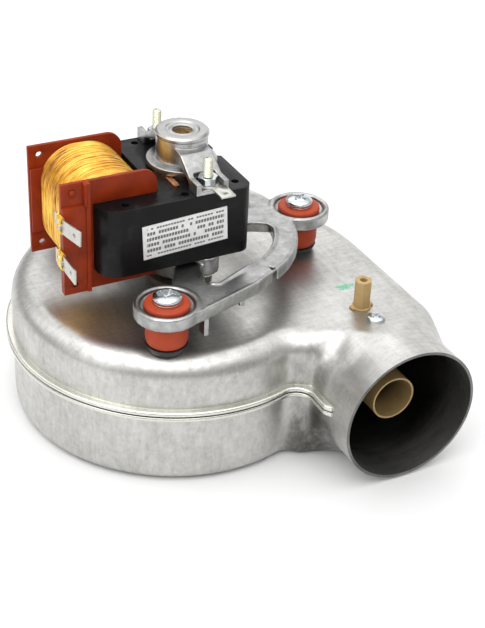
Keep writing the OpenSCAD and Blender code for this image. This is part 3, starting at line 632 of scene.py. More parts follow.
def make_materials():
    mats = {"casing_sheet": sheet_metal(), "casing_inside": inner_metal(), "die_cast": cast_metal(),
            "black_stack": black_stack(), "enamel_wire": coil_wire(), "label": label_paper(),
            "tan_plastic": tan_plastic()}
    for name, (color, rough, vary, grain, bump, inputs) in PLASTICS.items():
        mats[name] = plastic(name, color, rough, vary, grain, bump, **inputs)
    for name, row in METALS.items():
        mats[name] = metal(name, *row)
    return mats


make_camera()
MATS = make_materials()


# --- CAD nodes that stay

def dress_cad():
    """Gives each CAD node the material of its slot; hidden ones keep their CAD mesh."""
    slots = {s["node"]: s["material_slot"] for s in frame["record"]["subparts"]}
    for node, o in NODES.items():
        o.data.materials.clear()
        o.data.materials.append(MATS[slots[node]])


dress_cad()


# --- casing

def arc_dist(x, y, c, a0, a1):
    """Distance to an arc, angles in degrees, a1 > a0."""
    dx, dy = x - c[0], y - c[1]
    on_arc = (np.degrees(np.arctan2(dy, dx)) - a0) % 360.0 <= a1 - a0
    ends = []
    for a in (math.radians(a0), math.radians(a1)):
        px, py = c[0] + c[2] * math.cos(a), c[1] + c[2] * math.sin(a)
        ends.append(np.hypot(x - px, y - py))
    return np.where(on_arc, np.abs(np.hypot(dx, dy) - c[2]), np.minimum(*ends))


def seg_dist(x, y, p, q):
    vx, vy = q[0] - p[0], q[1] - p[1]
    t = np.clip(((x - p[0]) * vx + (y - p[1]) * vy) / (vx * vx + vy * vy), 0, 1)
    return np.hypot(x - p[0] - t * vx, y - p[1] - t * vy)


def in_poly(x, y, poly):
    """Whether points are in a polygon, by counting the edges they cross."""
    inside = np.zeros(np.shape(x), bool)
    for (x0, y0), (x1, y1) in zip(poly, poly[1:] + poly[:1]):
        if abs(y1 - y0) > 1e-12:
            inside ^= ((y0 > y) != (y1 > y)) & (x < (x1 - x0) * (y - y0) / (y1 - y0) + x0)
    return inside


def in_circle(x, y, c):
    return np.hypot(x - c[0], y - c[1]) < c[2]


def scroll_2d(x, y):
    """Signed distance to the outline of the scroll, negative inside."""
    arcs = ((A, 180, 270), (B, 90, 180), (C, 0, 90), (LEAD, 270, LEAD_END), (TONGUE, TURN, TONGUE_END))
    line = list(DUCT_L) + [(WALL_X, DUCT_Y), (WALL_X, C[1])]
    d = np.minimum.reduce([arc_dist(x, y, *arc) for arc in arcs] +
                          [seg_dist(x, y, p, q) for p, q in zip(line, line[1:])])
    ins = (x <= A[0]) & (y <= A[1]) & in_circle(x, y, A)
    ins |= (x <= B[0]) & (y >= B[1]) & in_circle(x, y, B)
    ins |= (x >= C[0]) & (y >= C[1]) & in_circle(x, y, C)
    ins |= (x >= A[0]) & (x <= C[0]) & (y >= LEAD[1]) & (y <= B[1])
    ins |= (x >= C[0]) & (x <= WALL_X) & (y >= LEAD[1]) & (y <= C[1])
    ins |= (x >= DUCT_L[2][0]) & (x <= WALL_X) & (y >= DUCT_Y) & (y <= LEAD[1])
    ins |= (x >= LEAD[0]) & (y <= LEAD[1]) & in_circle(x, y, LEAD)
    ins |= in_poly(x, y, FILL) & (np.hypot(x - TONGUE[0], y - TONGUE[1]) > TONGUE[2])
    return np.where(ins, -d, d)


def rounded(qx, qz, r):
    """Distance to a corner of two faces, rounded to r."""
    ax, az = qx + r, qz + r
    return np.minimum(np.maximum(ax, az), 0) + np.hypot(np.maximum(ax, 0), np.maximum(az, 0)) - r


def smooth01(t):
    t = np.clip(t, 0, 1)
    return t * t * (3 - 2 * t)


def casing_field(p):
    """Signed distance to the outside of the casing: scroll and neck, blended at the tongue."""
    x, y, z = p[..., 0], p[..., 1], p[..., 2]
    d2 = scroll_2d(x, y)
    can = np.where(z > MID, rounded(d2, z - TOP, 10.0), rounded(d2, -z, 5.0))
    # the neck turns from the scroll's height and corners into a circle over 24 mm
    t = smooth01((DUCT_Y - y) / 24.0)
    centre, half = MID + (NECK[1] - MID) * t, MID + t
    corner = np.where(z > centre, 10.0 + 20.0 * t, 5.0 + 25.0 * t)
    duct = rounded(np.abs(x - NECK[0]) - NECK[2], np.abs(z - centre) - half, corner)
    duct = np.maximum(duct, y + 50.0)
    # blend width, widest near the tongue and at its top and bottom
    near = np.hypot(x - 30.0, y + 72.0)
    k = 4.5 + 4.5 * smooth01((z - 46.0) / 10.0) + 5.5 * smooth01((26.0 - z) / 22.0)
    k = k * smooth01(1.55 - near / 24.0) + 0.02
    h = np.clip(0.5 + 0.5 * (duct - can) / k, 0, 1)
    d = duct * (1 - h) + can * h - k * h * (1 - h)
    # soft dint of the pressing between tongue and neck
    dint = 1.9 * np.exp(-(((x - 36.0) / 5.0) ** 2 + ((y + 71.0) / 5.5) ** 2 + ((z - 55.0) / 8.0) ** 2))
    return np.maximum(d + dint, np.maximum(-z, z - TOP - 3.0 * t))


def field_grad(p, h=0.04):
    """Unit gradient of the field and its length."""
    g = np.empty_like(p)
    for a in range(3):
        e = np.zeros(3)
        e[a] = h
        g[:, a] = (casing_field(p + e) - casing_field(p - e)) / (2 * h)
    n = np.linalg.norm(g, axis=1, keepdims=True)
    return g / np.maximum(n, 1e-6), n[:, 0]


def surface_nets(f, xs, ys, zs):
    """Quads round the zero level of a sampled field, one vertex for each cell it crosses."""
    nx, ny, nz = len(xs), len(ys), len(zs)
    inside = f < 0
    cnt = np.zeros((nx - 1, ny - 1, nz - 1), np.int8)
    pos = np.zeros((nx - 1, ny - 1, nz - 1, 3))
    corners = [(i, j, k) for i in (0, 1) for j in (0, 1) for k in (0, 1)]
    step = (xs[1] - xs[0], ys[1] - ys[0], zs[1] - zs[0])

    def sub(a, c):
        return a[c[0]:nx - 1 + c[0], c[1]:ny - 1 + c[1], c[2]:nz - 1 + c[2]]

    for c in corners:
        for ax in (a for a in range(3) if c[a] == 0):
            e = list(c)
            e[ax] = 1
            fa, fb = sub(f, c), sub(f, e)
            m = sub(inside, c) != sub(inside, e)
            t = np.where(m, fa / np.where(m, fa - fb, 1), 0)
            for b in range(3):
                add = (c[b] + (t if b == ax else 0)) * step[b]
                pos[..., b] += np.where(m, add, 0)
            cnt += m
    act = cnt > 0
    idx = -np.ones(act.shape, int)
    idx[act] = np.arange(act.sum())
    ii, jj, kk = np.nonzero(act)
    verts = np.c_[xs[ii], ys[jj], zs[kk]] + pos[act] / cnt[act][:, None]
    faces = []
    for ax in range(3):
        o1, o2 = (ax + 1) % 3, (ax + 2) % 3
        lo = [slice(1, -1)] * 3
        lo[ax] = slice(0, -1)
        hi = list(lo)
        hi[ax] = slice(1, None)
        a, b = inside[tuple(lo)], inside[tuple(hi)]
        i, j, k = np.nonzero(a != b)
        flip = a[i, j, k]
        cell = np.c_[i, j, k] + (np.arange(3) != ax)
        quad = []
        for s1, s2 in ((1, 1), (0, 1), (0, 0), (1, 0)):
            c = cell.copy()
            c[:, o1] -= s1
            c[:, o2] -= s2
            quad.append(idx[tuple(c.T)])
        q = np.stack(quad, 1)
        q[~flip] = q[~flip][:, ::-1]
        faces.append(q[(q >= 0).all(1)])
    return verts, np.concatenate(faces)


def casing_surface(pitch):
    """Net of the casing's outer skin, pulled onto the field."""
    xs = np.arange(-74.0, 93.0, pitch)
    ys = np.arange(-103.0, 82.0, pitch)
    zs = np.arange(-3.3, 66.0, pitch)
    g = np.stack(np.meshgrid(xs, ys, zs, indexing="ij"), -1)
    f = casing_field(g)
    v, q = surface_nets(f, xs, ys, zs)
    for _ in range(4):
        n, s = field_grad(v)
        v = v - n * (casing_field(v) / np.maximum(s, 0.3))[:, None]
    return v, q


def cut(bm, co, no):
    """Keeps the side that no points away from."""
    bmesh.ops.bisect_plane(bm, geom=bm.verts[:] + bm.edges[:] + bm.faces[:], dist=1e-7,
                           plane_co=co, plane_no=no, clear_outer=True, clear_inner=False)


def open_hole(bm, cx, cy, r, zlo, zhi):
    """Removes the skin inside a vertical cylinder and rounds the edge that is left."""
    kill = [v for v in bm.verts if zlo < v.co.z < zhi and math.hypot(v.co.x - cx, v.co.y - cy) < r]
    bmesh.ops.delete(bm, geom=kill, context="VERTS")
    for e in bm.edges:
        if len(e.link_faces) == 1:
            for v in e.verts:
                if zlo < v.co.z < zhi and math.hypot(v.co.x - cx, v.co.y - cy) < r * 1.2 + 0.004:
                    d = Vector((v.co.x - cx, v.co.y - cy, 0))
                    k = r / max(d.length, 1e-9)
                    v.co.x, v.co.y = cx + d.x * k, cy + d.y * k


def arc_points(c, a0, a1, n, side=1):
    """Points along an arc with their normals, outward for side 1."""
    out = []
    for a in np.radians(np.linspace(a0, a1, n)):
        ca, sa = math.cos(a), math.sin(a)
        out.append((c[0] + c[2] * ca, c[1] + c[2] * sa, side * ca, side * sa))
    return out


def bead_path():
    """Outer contour of the casing from the neck round to the right wall, with outward normals."""
    pts = [(NECK[0] - NECK[2], y, -1.0, 0.0) for y in np.linspace(-85.5, TONGUE[1], 10)[:-1]]
    pts += arc_points(TONGUE, 0, TONGUE_END, 24, -1)
    for c, a0, a1, n in ((LEAD, LEAD_END, 270, 12), (A, 270, 180, 60), (B, 180, 90, 60), (C, 90, 0, 60)):
        pts += arc_points(c, a0, a1, n)[1:]
    return pts + [(WALL_X, y, 1.0, 0.0) for y in np.linspace(C[1], -76.0, 30)[1:]]


def bead_mesh(z0, z1):
    """Rolled edge that runs round the joint of the two halves."""
    sec = round_corners([(-1.0, z0), (2.8, z0), (2.8, z1), (-1.0, z1)], [0.0, 0.9, 0.9, 0.0], 6)
    path = bead_path()
    verts, faces = [], []
    m, n = len(sec), len(path)
    mid = np.array([(x, y, (z0 + z1) / 2) for x, y, _, _ in path])
    reach = np.clip(casing_field(mid), 0, 3.0) + 0.95  # inner side ends inside the wall
    for i, (x, y, nx, ny) in enumerate(path):
        end = min(1.0, (min(i, n - 1 - i) + 0.35) / 3.0)
        grow = math.sin(end * math.pi / 2)
        for u, z in sec:
            out = -reach[i] if u < 0 else u * grow
            verts.append((x + nx * out, y + ny * out, z))
    for i in range(n - 1):
        for k in range(m):
            a, b = i * m + k, i * m + (k + 1) % m
            faces.append((a, b, b + m, a + m))
    faces.append(tuple(range(m)))
    faces.append(tuple(range((n - 1) * m, n * m))[::-1])
    return solid_from(verts, faces)


def casing_half(name, verts, quads, upper):
    """Upper or lower half of the casing with its wall, openings and half of the rolled joint."""
    me = mesh_from(name, verts * MM, [tuple(int(i) for i in q) for q in quads])
    with edit(me) as bm:
        bmesh.ops.recalc_face_normals(bm, faces=bm.faces)
        cut(bm, (0, CUT_Y * MM, 0), (0, -1, 0))
        cut(bm, (0, 0, SEAM * MM), (0, 0, -1 if upper else 1))
        if upper:
            open_hole(bm, 0, 0, 9.0 * MM, 55 * MM, 60 * MM)
            open_hole(bm, NECK[0] * MM, -54.0 * MM, 2.6 * MM, 55 * MM, 62 * MM)
        else:
            open_hole(bm, 0, 0, 42.0 * MM, -2 * MM, 2 * MM)
    # the wall is built from the field's normals, so both skins stay smooth
    n_v = len(me.vertices)
    co = np.empty(n_v * 3)
    me.vertices.foreach_get("co", co)
    co = co.reshape(-1, 3)
    nor, _ = field_grad(co / MM)
    faces = [tuple(p.vertices) for p in me.polygons]
    edges = dict.fromkeys((a, b) for f in faces for a, b in zip(f, f[1:] + f[:1]))
    rim = [(a, b) for a, b in edges if (b, a) not in edges]
    inner = co - nor * SHEET * MM
    inner[np.abs(co[:, 2] - SEAM * MM) < 2e-6, 2] = SEAM * MM
    inner[np.abs(co[:, 1] - CUT_Y * MM) < 2e-6, 1] = CUT_Y * MM
    allv = np.concatenate([co, inner])
    allf = faces + [tuple(i + n_v for i in reversed(f)) for f in faces]
    allf += [(b, a, a + n_v, b + n_v) for a, b in rim]
    out = mesh_from(name + "_wall", allv, allf)
    for poly in list(out.polygons)[len(faces):]:
        poly.material_index = 1
    extra = [bead_mesh(SEAM + 0.14, SEAM + 2.2) if upper else bead_mesh(SEAM - 2.3, SEAM - 0.14)]
    if not upper:
        lip = [(42.3, 0.0), (42.3, 1.2), (41.0, 1.9), (38.6, 3.6), (37.3, 6.0), (37.2, 9.3), (36.9, 9.5),
               (36.2, 9.5), (36.0, 9.2), (36.0, 6.0), (37.2, 2.8), (39.6, 0.7), (41.2, 0.0)]
        extra.append(lathe_mesh(lip, 128))
    full = join_meshes(name, [out] + extra)
    sharp_by_angle(full, 40)
    return add_object(name, full, [MATS["casing_sheet"], MATS["casing_inside"]])


net = casing_surface(1.5)
finish_piece(casing_half("casing_top", *net, True), "upper_shell")
finish_piece(casing_half("casing_bottom", *net, False), "lower_shell")


# --- small shared shapes

def tube_mesh(path, r, sides, closed=False):
    """Round bar along a path of points in mm, with flat ends unless it is closed."""
    p = np.array(path, float)
    n = len(p)
    nxt = np.roll(p, -1, 0) if closed else np.r_[p[1:], p[-1:]]
    prv = np.roll(p, 1, 0) if closed else np.r_[p[:1], p[:-1]]
    t = nxt - prv
    t /= np.maximum(np.linalg.norm(t, axis=1, keepdims=True), 1e-9)
    ref = np.array([0, 0, 1.0]) if abs(t[0][2]) < 0.9 else np.array([1.0, 0, 0])
    u = np.cross(t[0], ref)
    u /= np.linalg.norm(u)
    verts, faces = [], []
    for i in range(n):
        u = u - t[i] * (u @ t[i])
        u /= np.linalg.norm(u)
        w = np.cross(t[i], u)
        verts += [p[i] + a * u + b * w for a, b in ring_points(0, 0, r, sides)]
        if closed or i < n - 1:
            faces += band(i * sides, (i + 1) % n * sides, sides)
    if not closed:
        faces.append(tuple(range(sides))[::-1])
        faces.append(tuple(range((n - 1) * sides, n * sides)))
    return solid_from(verts, faces)


def screw_head(cx, cy, z0, r, h, arm, turn=0.0):
    """Pan head with a cross recess, seated on z0, made as a fine polar height field."""
    nr, nt = 34, 120
    ca, sa = math.cos(turn), math.sin(turn)

    def height(x, y, q):
        dome = h * (0.42 + 0.58 * math.sqrt(max(0.0, 1 - min(1.0, q / r * 0.985) ** 2.6)))
        a, b = abs(x * ca + y * sa), abs(-x * sa + y * ca)
        slot = 0.0
        for u, v in ((a, b), (b, a)):
            w = 0.13 * r * (1 - 0.35 * u / arm)
            m = min(1, max(0, (w - v) / 0.16 + 0.5)) * min(1, max(0, (arm - u) / 0.25))
            slot = max(slot, m * (1 - 0.55 * u / arm))
        diag = min(1, max(0, (0.20 * r - abs(a - b) * 0.7 - (a + b) * 0.35) / 0.2))
        return dome - h * 0.62 * max(slot, diag * 0.55)

    rings = [[(x, y, height(x, y, r * i / nr)) for x, y in ring_points(0, 0, r * i / nr, nt)]
             for i in range(1, nr + 1)]
    for q, z in ((r, h * 0.18), (r * 0.97, 0.0)):
        rings.append([(x, y, z) for x, y in ring_points(0, 0, q, nt)])
    verts = [(cx, cy, z0 + height(0, 0, 0))]
    faces = [(0, 1 + k, 1 + (k + 1) % nt) for k in range(nt)]
    for i, ring in enumerate(rings):
        verts += [(cx + x, cy + y, z0 + z) for x, y, z in ring]
        if i:
            faces += band(1 + (i - 1) * nt, 1 + i * nt, nt)
    faces.append(tuple(1 + (nr + 1) * nt + k for k in range(nt))[::-1])
    return solid_from(verts, faces)


def hex_nut_mesh(cy, z0, af, h, bore, turn=0.0):
    """Hexagon nut at x = 0 with chamfered corners and thread mouths."""
    n = 96
    flat = af / 2 * 0.985  # radius where the chamfer starts

    def hex_radius(g):
        return af / 2 / math.cos((g - turn + math.pi / 6) % (math.pi / 3) - math.pi / 6)

    verts, faces = [], []
    for kind, d, z in (("bore", 0.35, 0.0), ("bore", 0.0, 0.35), ("bore", 0.0, h - 0.35), ("bore", 0.35, h),
                       ("face", 0, h), ("side", 0, h), ("side", 0, 0.0), ("face", 0, 0.0)):
        for k in range(n):
            g = 2 * math.pi * k / n
            q, drop = (bore + d if kind == "bore" else flat), 0.0
            if kind == "side":
                q = hex_radius(g)
                drop = max(0.0, q - flat) * (0.6 if z > 0 else -0.6)
            verts.append((q * math.cos(g), cy + q * math.sin(g), z0 + z - drop))
    rings = len(verts) // n
    for i in range(rings):
        faces += band(i * n, (i + 1) % rings * n, n)
    return solid_from(verts, faces)


def node_box(n):
    """Corners of a CAD node's box in mm."""
    lo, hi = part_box(n)
    return np.array(lo) / MM, np.array(hi) / MM


def make(name, meshes, node, slot, angle=None):
    """A piece on the casing, from meshes that are used up."""
    o = add_object(name, join_meshes(name, meshes), [MATS[slot]])
    if angle:
        sharp_by_angle(o.data, angle)
    return finish_piece(o, node)


# --- feet

for node in ("bush_right", "bush_back", "bush_front"):
    lo, hi = node_box(node)
    z0, z1 = lo[2], hi[2]
    prof = round_corners([(4.05, z0), (7.9, z0), (8.55, z0 + 3.0), (8.6, 73.45), (6.65, 73.45),
                          (6.65, 77.05), (9.1, 77.05), (9.1, z1 - 0.35), (6.4, z1), (4.05, z1 - 0.1)],
                         [0.2, 1.6, 3.0, 0.5, 0.3, 0.3, 0.9, 1.25, 0.8, 0.3], 6)
    at = ((lo[0] + hi[0]) / 2, (lo[1] + hi[1]) / 2, 0)
    make(node + "_soft", [lathe_mesh(prof, 112, at)], node, "silicone", 50)
lo, hi = node_box("foot_screws")
shank = round_corners([(0, lo[2]), (1.85, lo[2]), (1.85, HEAD_Z + 0.1), (0, HEAD_Z + 0.1)],
                      [0, 0.4, 0, 0], 3)
heads = []
for i, (cx, cy) in enumerate(FEET):
    heads.append(screw_head(cx, cy, HEAD_Z, 5.75, hi[2] - HEAD_Z, 3.3, 0.5 + i * 0.9))
    heads.append(lathe_mesh(shank, 32, (cx, cy, 0)))
make("foot_screw_set", heads, "foot_screws", "bright_zinc", 42)
lo, hi = node_box("foot_washers")
prof = round_corners([(2.1, lo[2]), (5.6, lo[2]), (5.6, hi[2]), (2.1, hi[2])], 0.2, 3)
make("foot_washer_set", [lathe_mesh(prof, 72, (cx, cy, 0)) for cx, cy in FEET],
     "foot_washers", "bright_zinc", 50)

# --- pressure tap

lo, hi = node_box("pressure_nipple")
nx, ny = (lo[0] + hi[0]) / 2, (lo[1] + hi[1]) / 2
hexagon = round_corners(ring_points(nx, ny, 3.75, 6), 0.35, 3)
flange = round_corners([(1.5, TOP), (4.05, TOP), (4.05, TOP + 0.8), (1.5, TOP + 0.8)], [0, 0.1, 0.3, 0], 3)
stem = round_corners([(1.5, lo[2]), (2.4, lo[2]), (2.4, TOP + 0.2), (1.5, TOP + 0.2)], 0, 2)
make("tap_nipple", [plate_mesh(hexagon, ring_points(nx, ny, 1.5, 32), TOP + 0.02, hi[2], 0.35, 3),
                    lathe_mesh(flange, 48, (nx, ny, 0)),
                    box_mesh(nx - 5, ny - 1.5, TOP, nx + 5, ny + 1.5, TOP + 1.0, 0.3, 2),
                    lathe_mesh(stem, 40, (nx, ny, 0))], "pressure_nipple", "tan_plastic", 35)
lo, hi = node_box("nipple_screw")
sx, sy, seat = (lo[0] + hi[0]) / 2, (lo[1] + hi[1]) / 2, TOP + 0.35
shank = [(0, lo[2]), (1.35, lo[2]), (1.4, TOP + 0.5), (0, TOP + 0.5)]
make("tap_screw", [screw_head(sx, sy, seat, 3.75, hi[2] - seat, 2.2, 0.4),
                   lathe_mesh(shank, 28, (sx, sy, 0))], "nipple_screw", "bright_zinc", 42)

# --- bracket casting

def rim_arc(r, a0, a1):
    return [(r * math.cos(math.radians(a)), r * math.sin(math.radians(a))) for a in range(a0, a1, 3)]


def band_lines(side):
    """Raised rims along the inner and outer edge of one arm."""
    inner = [(-6.6, -43.0), (-4.0, -44.7), (8.0, -39.1), (19.8, -34.6), *rim_arc(39.95, -58, -16),
             (36.6, -8.6), (31.2, -5.0), (22.0, -4.2)]
    outer = [(-16.0, -58.2), (-6.0, -54.9), (11.6, -49.0), *rim_arc(48.75, -64, -14)]
    return [tube_mesh([(x, y * side, z) for x, y in pts], r, 10)
            for pts, r, z in ((inner, 0.75, 78.45), (outer, 0.55, 78.35))]


cast = [NODES["motor_bracket"].data.copy()] + band_lines(1) + band_lines(-1)
lug_rim = round_corners([(11.1, 76.5), (12.9, 76.5), (12.9, 79.0), (11.1, 79.0)], [0, 0, 0.5, 0.5], 3)
lug_foot = round_corners([(10.2, 73.0), (13.0, 73.4), (13.0, 75.0), (10.2, 75.0)], 0.2, 2)
for cx, cy in FEET:
    cast += [lathe_mesh(prof, 96, (cx, cy, 0)) for prof in (lug_rim, lug_foot)]
finish_piece(voxel_cast("bracket_casting", cast, 0.5), "motor_bracket")

# --- stator

stack = cad_copy("stack_frame", "stack", 0.35, 3, 30, [MATS["black_stack"]])
finish_piece(stack, "stack_frame")
lab = cad_copy("rating_label", "label", 0.0, 1, 30, [MATS["label"]])
finish_piece(lab, "rating_label")

# --- coil

lo, hi = node_box("bobbin")
pin = round_corners([(0, 0), (1.28, 0), (1.28, 2.6), (0, 3.0)], [0, 0, 0.6, 0], 4)
make("coil_former", [rounded_mesh("bobbin", 0.32, 3),
                     lathe_mesh(pin, 32, (-54.6, -16.9, lo[2] + 4), "-y"),
                     lathe_mesh(pin, 32, (-54.6, -16.9, hi[2] - 4), "-y"),
                     box_mesh(-58.9, 15.6, lo[2] + 9.6, -50.6, 16.95, hi[2] - 9.6, 0.3, 2),
                     box_mesh(-50.4, -21.3, hi[2] - 9.7, -49.2, -18.4, hi[2] - 0.2, 0.3, 2)],
     "bobbin", "bobbin_plastic", 38)

wlo, whi = node_box("winding")


def coil_loop(grow, n=132):
    """Rounded rectangle round the core, grown outwards by some mm."""
    x0, x1, z0, z1 = wlo[0] - grow, whi[0] + grow, wlo[2] - grow, whi[2] + grow
    pts = round_corners([(x0, z0), (x1, z0), (x1, z1), (x0, z1)], 15.0 + grow, 14)
    p = np.array(pts + [pts[0]])
    s = np.r_[0, np.cumsum(np.linalg.norm(np.diff(p, axis=0), axis=1))]
    t = np.linspace(0, s[-1], n + 1)[:-1]
    return np.c_[np.interp(t, s, p[:, 0]), np.interp(t, s, p[:, 1])]


def winding_core(half):
    """Plain body under the wires, from one flange to the other."""
    loops = (coil_loop(-0.55), coil_loop(-5.0))
    n = len(loops[0])
    verts = [(x, y, z) for y in (-half + 0.02, half - 0.02) for loop in loops for x, z in loop]
    faces = []
    for k in range(n):
        k2 = (k + 1) % n
        faces += [(k, k2, 2 * n + k2, 2 * n + k), (n + k2, n + k, 3 * n + k, 3 * n + k2),
                  (k2, k, n + k, n + k2), (2 * n + k, 2 * n + k2, 3 * n + k2, 3 * n + k)]
    return solid_from(verts, faces)


def winding_pieces():
    """A close layer of wires with a slight wander, and a few that cross on top."""
    half = whi[1]
    wire = 0.27
    out = [winding_core(half)]

    def add_wire(grow, wander, margin):
        loop = coil_loop(grow)
        turn = np.arange(len(loop)) / len(loop) * 2 * math.pi
        y = np.clip(wander(turn), -half + margin, half - margin)
        out.append(tube_mesh(np.c_[loop[:, 0], y, loop[:, 1]], wire, 6, True))

    count = int((2 * half - 0.9) / (2 * wire * 0.93))
    for i in range(count):
        y = -half + 0.5 + i * (2 * half - 1.0) / (count - 1)
        grow = -0.30 + RNG.uniform(-0.05, 0.05)
        ph, am = RNG.uniform(0, 6.28), RNG.uniform(0.02, 0.16)
        add_wire(grow, lambda k: y + am * np.sin(k + ph) + 0.05 * np.sin(5 * k + ph * 2), 0.35)
    for i in range(30):
        y = RNG.uniform(-half + 2.5, half - 2.5)
        lean = RNG.uniform(-1.9, 1.9)
        add_wire(-0.02 + RNG.uniform(0.0, 0.12),
                 lambda k: y + lean * np.sin(k + 0.6) + 0.3 * np.sin(3 * k + i), 0.4)
    return out


make("coil_winding", winding_pieces(), "winding", "enamel_wire")


def solder_blob(x, y, z, r):
    me = bpy.data.meshes.new("blob")
    with edit(me) as bm:
        bmesh.ops.create_icosphere(bm, subdivisions=4, radius=r * MM)
        for v in bm.verts:
            q = v.co / MM
            lump = 1 + 0.16 * math.sin(3.1 * q.x + 1.7 * q.y) + 0.12 * math.sin(4.3 * q.z + z)
            v.co = Vector((v.co.x * 0.62, v.co.y, v.co.z)) * lump + Vector((x, y, z)) * MM
    return me


def terminal_tag(node):
    """Spade blade with wire wrapped round its root, a lead to the coil and solder."""
    lo, hi = node_box(node)
    zc = (lo[2] + hi[2]) / 2
    wrap = []
    for k in range(96):
        g = k / 96 * 2 * math.pi * 4.5
        wrap.append((-59.6 + 1.05 * math.cos(g), -16.6 - 0.75 * k / 16 + 0.12 * math.sin(3 * g),
                     zc + 3.7 * math.sin(g)))
    lead = [(-58.6, -15.4, zc + 3.0), (-57.4, -14.6, zc + 5.0), (-56.0, -13.9, zc + 7.2),
            (-54.9, -13.6, zc + 9.0)]
    strip = rounded_mesh(node, 0.14, 2, weld=3e-5)
    wires = [tube_mesh(wrap, 0.34, 8), tube_mesh(lead, 0.3, 8)]
    solder = [solder_blob(-60.3, -18.4, zc + 1.4, 1.35), solder_blob(-60.2, -19.9, zc - 0.6, 1.2),
              solder_blob(-60.2, -17.6, zc - 2.0, 1.1)]
    first = len(strip.polygons)
    last = first + sum(len(w.polygons) for w in wires)
    o = make(node + "_tag", [strip] + wires + solder, node, "tinned", 40)
    o.data.materials.append(MATS["enamel_wire"])
    for poly in list(o.data.polygons)[first:last]:
        poly.material_index = 1


for node in ("terminal_upper", "terminal_lower"):
    terminal_tag(node)

# --- top bridge and bearing

bridge = voxel_cast("bridge_casting", [NODES["top_bridge"].data.copy()], 0.3)
finish_piece(bridge, "top_bridge")
cup = round_corners([(10.45, 113.4), (10.85, 113.4), (10.85, 114.0), (10.62, 114.5), (10.62, 123.5),
                     (10.3, 123.5)], [0, 0.15, 0.2, 0.2, 0.1, 0], 3)
make("cup_skin", [lathe_mesh(cup, 144)], "top_bridge", "turned_cap", 35)
z1 = node_box("bearing_cap")[1][2]
cap = round_corners([(4.0, 123.7), (10.9, 123.7), (11.0, 124.0), (11.0, z1 - 0.75), (10.1, z1), (7.2, z1),
                     (6.5, z1 - 0.5), (5.5, z1 - 0.5), (4.9, z1 - 0.25), (4.0, z1 - 0.6)],
                    [0.1, 0.1, 0.2, 0.3, 0.4, 0.25, 0.15, 0.2, 0.3, 0.2], 4)
spigot = round_corners([(6.1, 122.3), (9.15, 122.3), (9.15, 123.8), (6.1, 123.8)], 0.1, 2)
make("cap_disc", [lathe_mesh(cap, 160), lathe_mesh(spigot, 96)], "bearing_cap",
     "turned_cap", 30)

z1 = node_box("motor_bolts")[1][2]
prof = [(0, 72.0), (3.2, 71.4), (3.6, 72.2), (3.6, 73.45), (1.88, 73.5), (1.88, 109.0)]
z = 109.0
while z < z1 - 0.9:  # thread ridges
    prof += [(1.62, z + 0.25), (1.88, z + 0.5)]
    z += 0.5
prof += [(1.3, z1 - 0.05), (0, z1)]
make("bolt_pair", [lathe_mesh(prof, 48, (0, y, 0)) for y in (-MOTOR_BOLT_Y, MOTOR_BOLT_Y)],
     "motor_bolts", "yellow_zinc", 60)
z1 = node_box("bolt_nuts")[1][2]
make("nut_pair", [hex_nut_mesh(y, z, 7.0, min(3.2, z1 - z), 1.9, turn)
                  for y, z, turn in ((-MOTOR_BOLT_Y, 112.8, 0.3), (MOTOR_BOLT_Y, 112.0, 0.1))],
     "bolt_nuts", "bright_zinc", 28)
tab = cad_copy("earth_tab", "earth", 0.14, 2, 32, [MATS["tinned"]])
finish_piece(tab, "earth_tab")


# --- stage

def material_floor():
    m = Mat("floor", (0.74, 0.74, 0.74), 0.75)
    m.color(m.ramp(m.noise(8, 3), [(0.3, (0.735, 0.735, 0.735)), (0.7, (0.75, 0.75, 0.75))]))
    m.bump(m.noise(900, 2), 0.02, 0.00005)
    return m.m


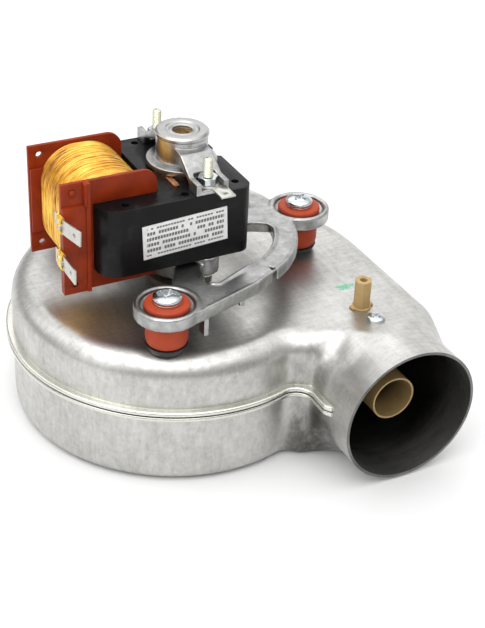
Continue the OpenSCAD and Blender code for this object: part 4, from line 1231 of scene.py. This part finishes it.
def make_stage():
    me = bpy.data.meshes.new("floor")
    with edit(me) as bm:
        bmesh.ops.create_grid(bm, x_segments=4, y_segments=4, size=30.0)
    floor = add_object("floor", me, [material_floor()])
    floor.location = (0, 0, -0.0002)


def area(name, loc, target, size, size_y, power):
    """Rectangular light aimed at a target, in metres and watts."""
    light = bpy.data.lights.new(name, "AREA")
    light.energy = power
    light.shape = "RECTANGLE"
    light.size, light.size_y = size, size_y
    o = place(name, light)
    o.location = loc
    o.rotation_euler = (Vector(target) - Vector(loc)).to_track_quat("-Z", "Y").to_euler()


def make_light():
    """Studio: a world that brightens upwards, and six area lights."""
    w = bpy.data.worlds.new("studio")
    bpy.context.scene.world = w
    w.use_nodes = True
    nodes, link = w.node_tree.nodes, w.node_tree.links.new
    coord, parts, height, ramp = (nodes.new("ShaderNode" + kind)
                                  for kind in ("TexCoord", "SeparateXYZ", "MapRange", "ValToRGB"))
    link(coord.outputs["Generated"], parts.inputs[0])
    height.inputs["From Min"].default_value = -0.1
    height.inputs["From Max"].default_value = 1.0
    link(parts.outputs[2], height.inputs["Value"])
    link(height.outputs["Result"], ramp.inputs["Fac"])
    el = ramp.color_ramp.elements
    el[0].color = (0.27, 0.27, 0.27, 1)
    el[1].color = (2.1, 2.1, 2.1, 1)
    el.new(0.55).color = (0.55, 0.55, 0.55, 1)
    back = nodes["Background"]
    link(ramp.outputs["Color"], back.inputs["Color"])
    back.inputs["Strength"].default_value = 0.95
    area("key", (-0.42, -0.38, 1.05), (0, 0, 0.03), 1.5, 1.1, 8.0)
    area("fill", (0.9, -0.7, 0.8), (0.02, 0, 0.03), 0.8, 0.8, 0.4)
    area("left", (-1.15, -0.25, 0.6), (0, 0, 0.03), 0.9, 0.9, 2.4)
    area("rim", (-0.95, 0.85, 0.78), (0, 0, 0.05), 0.9, 0.7, 1.9)
    area("backdrop", (1.35, 1.15, 0.45), (0, 0, 0.05), 1.6, 0.9, 3.6)
    area("back", (0.25, 0.95, 0.85), (0, 0, 0.05), 1.0, 0.5, 1.6)
    bpy.context.scene.view_settings.view_transform = "Standard"


make_stage()
make_light()
